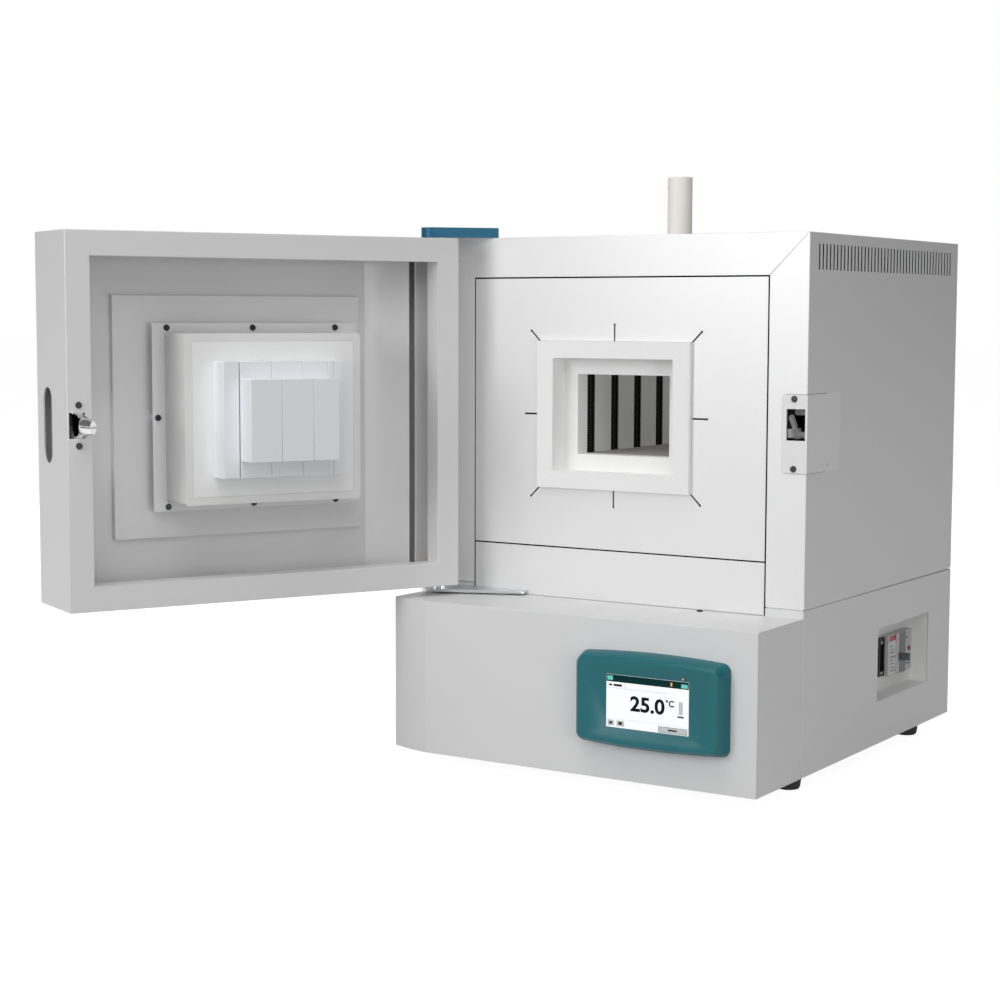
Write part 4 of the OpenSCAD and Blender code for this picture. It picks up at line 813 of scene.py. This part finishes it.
@dataclass
class Muffle:
    """The fibre collar, its chamber and the heating coils."""

    wire_r: float = 1.0
    turn_mm: float = 2.9
    steps: int = 14

    def build(self) -> None:
        """Rounds the boards and winds the coils."""
        eased_copy("muffle_collar", 2.0, segments=3)
        eased_copy("hearth_plate", 0.8)
        self._coils()

    def _coils(self) -> None:
        """Winds one coil along each rod that stands for it in the side walls."""
        bm = bmesh.new()
        bm.from_mesh(frame["nodes"]["heater_coils"].data)
        bmesh.ops.remove_doubles(bm, verts=bm.verts, dist=MERGE_M)
        rods = self._islands(bm)
        bm.free()
        curve = bpy.data.curves.new("coils", "CURVE")
        curve.dimensions = "3D"
        curve.bevel_depth = self.wire_r * MM
        curve.bevel_resolution = 2
        for start, end in rods:
            self._wind(curve, start, end)
        bm = curve_mesh(curve)
        for face in bm.faces:
            face.smooth = True
        piece = set_piece("wound_coils", bm, WIRE, CABINET)
        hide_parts("heater_coils")
        LOG.info("%d coils wound", len(rods))

    def _wind(self, curve: bpy.types.Curve, start: Vector, end: Vector) -> None:
        """Adds the helix of one coil.

        Args:
            curve: The curve that holds all coils.
            start: The lowest corner of the rod that stands for the coil.
            end: Its highest corner.
        """
        wire = self.wire_r * MM
        along = max(range(3), key=lambda i: (end - start)[i])
        first, second = [i for i in range(3) if i != along]
        reach = (end - start)[first] / 2 - wire
        length = (end - start)[along] - 2 * wire
        count = int(length / MM / self.turn_mm * self.steps)
        spline = curve.splines.new("POLY")
        spline.points.add(count)
        for i in range(count + 1):
            angle = 2 * math.pi * i / self.steps
            spot = (start + end) / 2
            spot[along] = start[along] + wire + length * i / count
            spot[first] += reach * math.cos(angle)
            spot[second] += reach * math.sin(angle)
            spline.points[i].co = (*spot, 1.0)

    @staticmethod
    def _islands(bm: bmesh.types.BMesh) -> list[tuple[Vector, Vector]]:
        """Finds the box of each separate solid of a mesh.

        Args:
            bm: The mesh.

        Returns:
            The lowest and the highest corner of each solid.
        """
        left, found = set(bm.verts), []
        while left:
            group, edge = [], [left.pop()]
            while edge:
                vert = edge.pop()
                group.append(vert.co.copy())
                for link in vert.link_edges:
                    other = link.other_vert(vert)
                    if other in left:
                        left.remove(other)
                        edge.append(other)
            found.append(box_of(group))
        return found


@dataclass
class Door:
    """The swing door with its plug and its latch."""

    fold_mm: float = 1.0
    long_edge_mm: float = 60.0
    board_edge_mm: float = 0.7
    board_lap_mm: float = 3.0
    near_mm: float = 0.05

    def build(self) -> None:
        """Rounds the folds of the door and the edges of its boards."""
        eased_copy("door_shell", self.fold_mm, self.long_edge_mm)
        eased_copy("plug_tray", 0.5, self.long_edge_mm)
        eased_copy("plug_mounting_plate", 0.35, self.long_edge_mm)
        eased_copy("plug_pan", 0.6, 3.0)
        eased_copy("plug_face_board", 1.0, 20.0)
        self._boards()
        eased_copy("latch_rocker", 0.25, 1.5)
        eased_copy("latch_case", 0.3, 3.0)
        eased_copy("hinge_channel", 0.5, 20.0)
        eased_copy("door_liner", 0.1, 300.0, 1, curve_deg=6.0)

    def _boards(self) -> None:
        """Lays the plug's boards side by side, each with its own softened edges."""
        points = points_of("plug_core_boards", DOOR)
        xs, ys = self._levels(points, 0), self._levels(points, 1)
        bm = bmesh.new()
        for left, right in zip(xs[:-1], xs[1:]):
            if right - left < 1.0:
                continue
            inside = [p for p in points if left - self.near_mm < p.x < right + self.near_mm]
            for start, end in ((ys[0], ys[-2]), (ys[-2] - self.board_lap_mm, ys[-1])):
                at_end = [p.z for p in inside if abs(p.y - end) < self.near_mm]
                low, high = min(at_end, default=0.0), max(at_end, default=0.0)
                if high - low > 1.0 and self._reaches(inside, left, right, end):
                    add_slab(bm, (left, start, low), (right, end, high), self.board_edge_mm)
        piece = set_piece("plug_boards_eased", bm, TIP_FIBRE, DOOR, PLACE[DOOR])
        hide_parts("plug_core_boards")

    @staticmethod
    def _levels(points: list[Vector], axis: int) -> list[float]:
        """Lists the separate places of a mesh's points along one axis.

        Args:
            points: The points.
            axis: 0, 1 or 2.

        Returns:
            The places, from the lowest up.
        """
        levels: list[float] = []
        for value in sorted(p[axis] for p in points):
            if not levels or value - levels[-1] > 0.1:
                levels.append(value)
        return levels

    def _reaches(self, points: list[Vector], left: float, right: float, end: float) -> bool:
        """Says whether the boards between two places reach a depth on both sides.

        Args:
            points: The points.
            left: The lower place along X.
            right: The higher place along X.
            end: The depth along Y.

        Returns:
            True if they do.
        """
        return all(any(abs(p.x - side) < 2 * self.near_mm and abs(p.y - end) < self.near_mm for p in points)
                   for side in (left, right))


@dataclass
class Hinges:
    """The covered upper hinge plate and the open lower one."""

    cover_edge_mm: float = 1.0
    plate_edge_mm: float = 0.4

    def build(self) -> None:
        """Rounds the cover and the plate."""
        eased_copy("top_hinge_cover", self.cover_edge_mm, 4.0, 3)
        eased_copy("lower_hinge_plate", self.plate_edge_mm, 3.0)


@dataclass
class Strike:
    """The strike plate and the painted shadow line along its edge."""

    line_mm: float = 0.45
    thick_mm: float = 0.12
    lap_mm: float = 0.3
    fold_mm: float = 0.8
    clear_mm: float = 2.0
    side_share: float = 0.6

    def build(self) -> None:
        """Rounds the plate and draws a painted shadow line round it, on the front and on the side."""
        eased_copy("strike_plate", 0.3, 3.0)
        low, high = place_of("strike_plate")
        face = high.x - self.fold_mm
        rise = self.line_mm + self.lap_mm
        bm = bmesh.new()
        for z in (low.z - self.line_mm, high.z - self.lap_mm):
            add_slab(bm, (low.x + self.clear_mm, -self.thick_mm, z), (face, 0.0, z + rise))
            add_slab(bm, (face, 0.0, z), (face + self.thick_mm, high.y * self.side_share, z + rise))
        add_slab(bm, (low.x - self.line_mm, -self.thick_mm, low.z + self.clear_mm),
                 (low.x + self.lap_mm, 0.0, high.z - self.clear_mm))
        set_piece("strike_edge_shadow", bm, PAINTED_EDGE_SHADOW, CABINET, PLACE[CABINET])


@dataclass
class ControlUnit:
    """The teal housing with its touch screen."""

    middle: tuple[float, float] = field(init=False)
    glass_y: float = field(init=False)
    size: tuple[float, float] = (94.4, 54.4)
    header: float = 7.4
    ink_mm: float = 0.08
    lamp_r: float = 0.9

    def __post_init__(self) -> None:
        """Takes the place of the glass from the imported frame."""
        low, high = place_of("display_glass")
        self.middle = ((low.x + high.x) / 2, (low.z + high.z) / 2)
        self.glass_y = low.y

    def build(self) -> None:
        """Rounds the housing and lays out the screen."""
        eased_copy("control_housing", 0.6, 1.0)
        right, top = self.size[0] / 2, self.size[1] / 2
        left, low, head = -right, -top, top - self.header
        self._plates("screen_header", SCREEN_HEAD, [(left, head, right, top)], 0.02)
        self._plates("screen_buttons", SCREEN_MINT, [(left + 1, head + 1.6, left + 7.5, top - 1.4),
                                                    (right - 8.5, head + 1.0, right - 1.2, top - 2.4)], 0.05)
        alarm = (right - 20.5, head + 1.8, right - 18.6, head + 5.4)
        self._plates("screen_lamp", SCREEN_AMBER, [alarm], 0.05)
        status_frame = self._frame(right - 34.0, low + 0.5, right - 1.2, low + 6.6)
        self._plates("screen_frame", SCREEN_INK, status_frame, 0.06)
        rules = [(left, head - 6.4, right - 20, head - 6.0), (left + 20.5, head - 6.0, left + 21.0, head),
                 (left, low + 8.6, right - 2, low + 8.9), (right - 34, low + 0.6, right - 33.6, low + 7.6)]
        keys = [(left + 1.6, low + 1.4, left + 9.0, low + 7.4),
                (left + 12.0, low + 1.4, left + 21.0, low + 7.4)]
        status = [(right - 33.6, low + 0.6, right - 1.4, low + 6.4)]
        gauge = [(right - 11.0, -6.5, right - 6.5, 6.5)]
        self._plates("screen_rules", SCREEN_GREY, rules + keys + status + gauge, 0.05)
        key_marks = [(left + 3.6, low + 3.2, left + 7.0, low + 5.6),
                     (left + 14.4, low + 3.0, left + 18.4, low + 6.0)]
        status_mark = [(right - 23.0, low + 2.8, right - 13.0, low + 4.4)]
        tab_marks = [(left + 3.0, head - 4.2, left + 6.6, head - 2.4),
                     (left + 8.4, head - 4.4, left + 18.0, head - 2.2)]
        gauge_mark = [(right - 12.4, -9.6, right - 5.2, -8.0)]
        self._plates("screen_marks", SCREEN_INK, key_marks + status_mark + tab_marks + gauge_mark, 0.08)
        self._lamp(right - 4.5, top + 3.6)
        self._ink("screen_reading", "25.0", 21.0, (0.4, -1.6), 1.10)
        self._ink("screen_unit", "°C", 9.0, (26.0, 3.2))

    def _lamp(self, right: float, up: float) -> None:
        """Adds the small lamp of the housing.

        Args:
            right: Its place to the right of the screen's middle.
            up: Its place above the screen's middle.
        """
        bm = bmesh.new()
        face = place_of("control_housing")[0].y
        add_stud(bm, (self.middle[0] + right, face + 0.3, self.middle[1] + up), 0.5, self.lamp_r, 0.15)
        set_piece("housing_lamp", bm, SCREEN_AMBER, CABINET, PLACE[CABINET])

    def _plates(self, name: str, finish: Finish, boxes: list[Box], rise: float) -> None:
        """Adds thin plates on the glass.

        Args:
            name: The piece's name.
            finish: Their finish.
            boxes: Their left, bottom, right and top edges from the screen's middle.
            rise: How far they stand off the glass.
        """
        bm = bmesh.new()
        for left, bottom, right, top in boxes:
            add_slab(bm, (self.middle[0] + left, self.glass_y - rise - 0.04, self.middle[1] + bottom),
                     (self.middle[0] + right, self.glass_y - rise + 0.01, self.middle[1] + top))
        set_piece(name, bm, finish, CABINET, PLACE[CABINET])

    @staticmethod
    def _frame(left: float, bottom: float, right: float, top: float, line: float = 0.35) -> list[Box]:
        """Gives the four thin bars of a drawn box.

        Args:
            left: Its left edge.
            bottom: Its lower edge.
            right: Its right edge.
            top: Its upper edge.
            line: The bars' width.

        Returns:
            The bars.
        """
        return [(left, bottom, right, bottom + line), (left, top - line, right, top),
                (left, bottom, left + line, top), (right - line, bottom, right, top)]

    def _ink(self, name: str, text: str, size: float, place: tuple[float, float], wide: float = 1.0) -> None:
        """Sets characters on the glass.

        Args:
            name: The piece's name.
            text: The characters.
            size: Their font size, in millimetres.
            place: Their middle, from the screen's middle.
            wide: How much wider than the font they are.
        """
        spot = Matrix.Translation((self.middle[0] + place[0], self.glass_y - 0.1, self.middle[1] + place[1]))
        ink = words(text, size, self.ink_mm)
        bmesh.ops.scale(ink, vec=(wide, 1.0, 1.0), verts=ink.verts)
        set_piece(name, ink, SCREEN_INK, CABINET, PLACE[CABINET] @ spot)


@dataclass
class BreakerBay:
    """The recess in the side with the breaker and the terminal port."""

    low: Vector = field(init=False)
    high: Vector = field(init=False)
    rise: float = 0.25
    sink: float = 0.2
    shoulder: float = 3.0
    rows: tuple[float, ...] = (0.70, 0.62, 0.55, 0.44, 0.36, 0.28, 0.18, 0.11)
    row_high: float = 0.022

    def __post_init__(self) -> None:
        """Takes the breaker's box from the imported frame."""
        self.low, self.high = place_of("breaker_body")

    def build(self) -> None:
        """Rounds the mouldings and lays the plates and the marks on them."""
        eased_copy("switch_tray", 0.6, 10.0)
        eased_copy("breaker_body", 0.5, 8.0)
        eased_copy("breaker_toggle", 0.5, 2.0)
        eased_copy("test_button", 0.3)
        eased_copy("terminal_port", 0.4, 4.0)
        self._lay("breaker_band", DARK, [(0.40, 0.01, 0.66, 0.99)])
        self._lay("breaker_label", PALE, [(0.03, 0.04, 0.36, 0.84)])
        self._lay("breaker_flag", RED, [(0.05, 0.84, 0.36, 0.97)])
        self._lay("breaker_dots", BLACK, [(0.75, 0.78, 0.80, 0.84), (0.69, 0.58, 0.74, 0.64),
                                          (0.72, 0.16, 0.94, 0.18), (0.72, 0.24, 0.90, 0.26)])
        bars = [(0.08, row, 0.20 + 0.035 * (i % 4), row + self.row_high) for i, row in enumerate(self.rows)]
        self._lay("breaker_rows", DARK, bars, 0.15, 0.2)
        self._port_marks()

    def _lay(self, name: str, finish: Finish, boxes: list[Box], lift: float = 0.0,
             look: float | None = None) -> None:
        """Lays thin plates over shares of the breaker's face.

        Args:
            name: The piece's name.
            finish: Their finish.
            boxes: Their left, bottom, right and top edges as shares of the face.
            lift: How much further out they lie, in millimetres.
            look: The share at which the face is looked up, if not at each plate's middle.
        """
        long, tall = self.high.y - self.low.y, self.high.z - self.low.z
        bm = bmesh.new()
        for left, bottom, right, top in boxes:
            share = (left + right) / 2 if look is None else look
            x = self._face_at(self.low.y + share * long) + lift
            add_slab(bm, (x - self.sink, self.low.y + left * long, self.low.z + bottom * tall),
                     (x + self.rise, self.low.y + right * long, self.low.z + top * tall))
        set_piece(name, bm, finish, CABINET, PLACE[CABINET])

    def _face_at(self, y: float) -> float:
        """Finds how far out the breaker's face lies.

        Args:
            y: The place along the cabinet's depth, in millimetres.

        Returns:
            The X of the outermost flat face there, or of the shoulder if there is none.
        """
        back = PLACE[CABINET].inverted()
        body = frame["nodes"]["breaker_body"].data
        found = []
        for face in body.polygons:
            if face.normal.x > 0.99 and face.area > 4e-6:
                ys = [(back @ body.vertices[i].co).y for i in face.vertices]
                if min(ys) <= y <= max(ys):
                    found.append((back @ face.center).x)
        return max(found, default=self.high.x - self.shoulder)

    def _port_marks(self) -> None:
        """Adds the pale square and the pale bar on the terminal port."""
        low, high = place_of("terminal_port")
        bm = bmesh.new()
        for y, z, long, tall in ((6.5, high.z - low.z - 7.0, 3.0, 3.0), (4.0, 3.0, 8.0, 1.2)):
            add_slab(bm, (high.x - self.sink, low.y + y, low.z + z),
                     (high.x + self.rise, low.y + y + long, low.z + z + tall))
        set_piece("port_marks", bm, PALE, CABINET, PLACE[CABINET])


@dataclass(frozen=True)
class Softbox:
    """A square area lamp, placed on the cabinet's axes in millimetres."""

    name: str
    where: Point
    aim: Point
    side_m: float
    watts: float

    def hang(self) -> None:
        """Adds the lamp and turns it to its aim."""
        data = bpy.data.lights.new(self.name, "AREA")
        data.size = self.side_m
        data.energy = self.watts
        start, end = PLACE[CABINET] @ Vector(self.where), PLACE[CABINET] @ Vector(self.aim)
        turn = (end - start).to_track_quat("-Z", "Y").to_matrix().to_4x4()
        add_object(self.name, data).matrix_world = Matrix.Translation(start) @ turn


SOFTBOXES = (
    Softbox("key", (-880.0, -2700.0, 1030.0), (0.0, 0.0, 420.0), 1.15, 24.0),
    Softbox("side", (1500.0, -2300.0, 2000.0), (0.0, 0.0, 500.0), 1.6, 16.0),
    Softbox("rim", (2250.0, -1450.0, 450.0), (-200.0, -100.0, 400.0), 0.75, 10.0),
    Softbox("above", (-200.0, -900.0, 2600.0), (0.0, 0.0, 0.0), 1.8, 24.0),
    Softbox("back", (-1900.0, 2600.0, 1100.0), (0.0, 300.0, 300.0), 2.0, 34.0),
)


@dataclass
class Studio:
    """The floor, the lights and the camera."""

    camera_mm: Point = (1079.4, -1914.5, 497.6)
    turn_deg: float = 32.641
    down_deg: float = 5.228
    roll_deg: float = -0.156
    lens: float = 73.141
    ambient: float = 0.17
    floor_share: float = 0.92
    floor_grey: float = 0.42
    floor_m: float = 30.0

    def build(self) -> None:
        """Sets up all of it."""
        self._floor()
        self._world()
        for softbox in SOFTBOXES:
            softbox.hang()
        self._camera()
        bpy.context.scene.view_settings.view_transform = "Standard"

    def _camera(self) -> None:
        """Places the camera at its viewpoint."""
        data = bpy.data.cameras.new("camera")
        data.lens = self.lens
        data.sensor_width = 36.0
        data.clip_start = 0.05
        data.clip_end = 50.0
        camera = add_object("camera", data)
        around = Matrix.Rotation(math.radians(self.turn_deg), 4, "Z")
        tilt = Matrix.Rotation(math.radians(90.0 - self.down_deg), 4, "X")
        roll = Matrix.Rotation(math.radians(-self.roll_deg), 4, "Z")
        where = PLACE[CABINET] @ Vector(self.camera_mm)
        camera.matrix_world = Matrix.Translation(where) @ around @ tilt @ roll
        bpy.context.scene.camera = camera

    def _floor(self) -> None:
        """Lays a plain pale floor that shows white and keeps the shadow."""
        bm = bmesh.new()
        bmesh.ops.create_grid(bm, x_segments=1, y_segments=1, size=self.floor_m)
        mesh = bpy.data.meshes.new("floor")
        bm.to_mesh(mesh)
        bm.free()
        mat = bpy.data.materials.new("pale_floor")
        mat.use_nodes = True
        tree = mat.node_tree
        shader = tree.nodes["Principled BSDF"]
        shader.inputs["Base Color"].default_value = (self.floor_grey, self.floor_grey, self.floor_grey, 1.0)
        shader.inputs["Roughness"].default_value = 0.9
        shader.inputs["Specular IOR Level"].default_value = 0.0
        white = add_node(tree, "Emission")
        part = add_node(tree, "Math", operation="MULTIPLY", i_1=self.floor_share)
        both = add_node(tree, "AddShader")
        tree.links.new(self._seen_by(tree, "Is Glossy Ray"), part.inputs[0])
        tree.links.new(part.outputs[0], white.inputs["Strength"])
        tree.links.new(shader.outputs[0], both.inputs[0])
        tree.links.new(white.outputs[0], both.inputs[1])
        tree.links.new(both.outputs[0], tree.nodes["Material Output"].inputs["Surface"])
        mesh.materials.append(mat)
        floor = add_object("floor", mesh)

    def _world(self) -> None:
        """Makes a white surround that lights the part evenly."""
        world = bpy.data.worlds.new("surround")
        bpy.context.scene.world = world
        world.use_nodes = True
        tree = world.node_tree
        soft = tree.nodes["Background"]
        soft.inputs["Strength"].default_value = self.ambient
        soft.inputs["Color"].default_value = (1.0, 1.0, 1.0, 1.0)
        white = add_node(tree, "Background", i_Strength=1.0, i_Color=(1.0, 1.0, 1.0, 1.0))
        mix = add_node(tree, "MixShader")
        tree.links.new(self._seen_by(tree, "Is Transmission Ray"), mix.inputs[0])
        tree.links.new(soft.outputs[0], mix.inputs[1])
        tree.links.new(white.outputs[0], mix.inputs[2])
        tree.links.new(mix.outputs[0], tree.nodes["World Output"].inputs["Surface"])

    @staticmethod
    def _seen_by(tree: bpy.types.NodeTree, other: str) -> Socket:
        """Adds a mask that is 1 for the camera's own rays and for one other kind of ray.

        Args:
            tree: The node tree.
            other: The other kind's output on the Light Path node.

        Returns:
            The mask's socket.
        """
        path = add_node(tree, "LightPath")
        seen = add_node(tree, "Math", operation="MAXIMUM")
        tree.links.new(path.outputs["Is Camera Ray"], seen.inputs[0])
        tree.links.new(path.outputs[other], seen.inputs[1])
        return seen.outputs[0]


def dress_nodes() -> None:
    """Gives every node of the frame its finish."""
    for name, node in frame["nodes"].items():
        node.data.materials.clear()
        node.data.materials.append(NODE_FINISH[name].material())


def main() -> None:
    """Builds the looks of the furnace in order."""
    logging.basicConfig(level=logging.INFO, format="%(message)s")
    dress_nodes()
    for part in (Cabinet(), Muffle(), Door(), Hinges(), Strike(), ControlUnit(), BreakerBay(), Studio()):
        LOG.info("building %s", type(part).__name__)
        part.build()


if __name__ == "__main__":
    main()
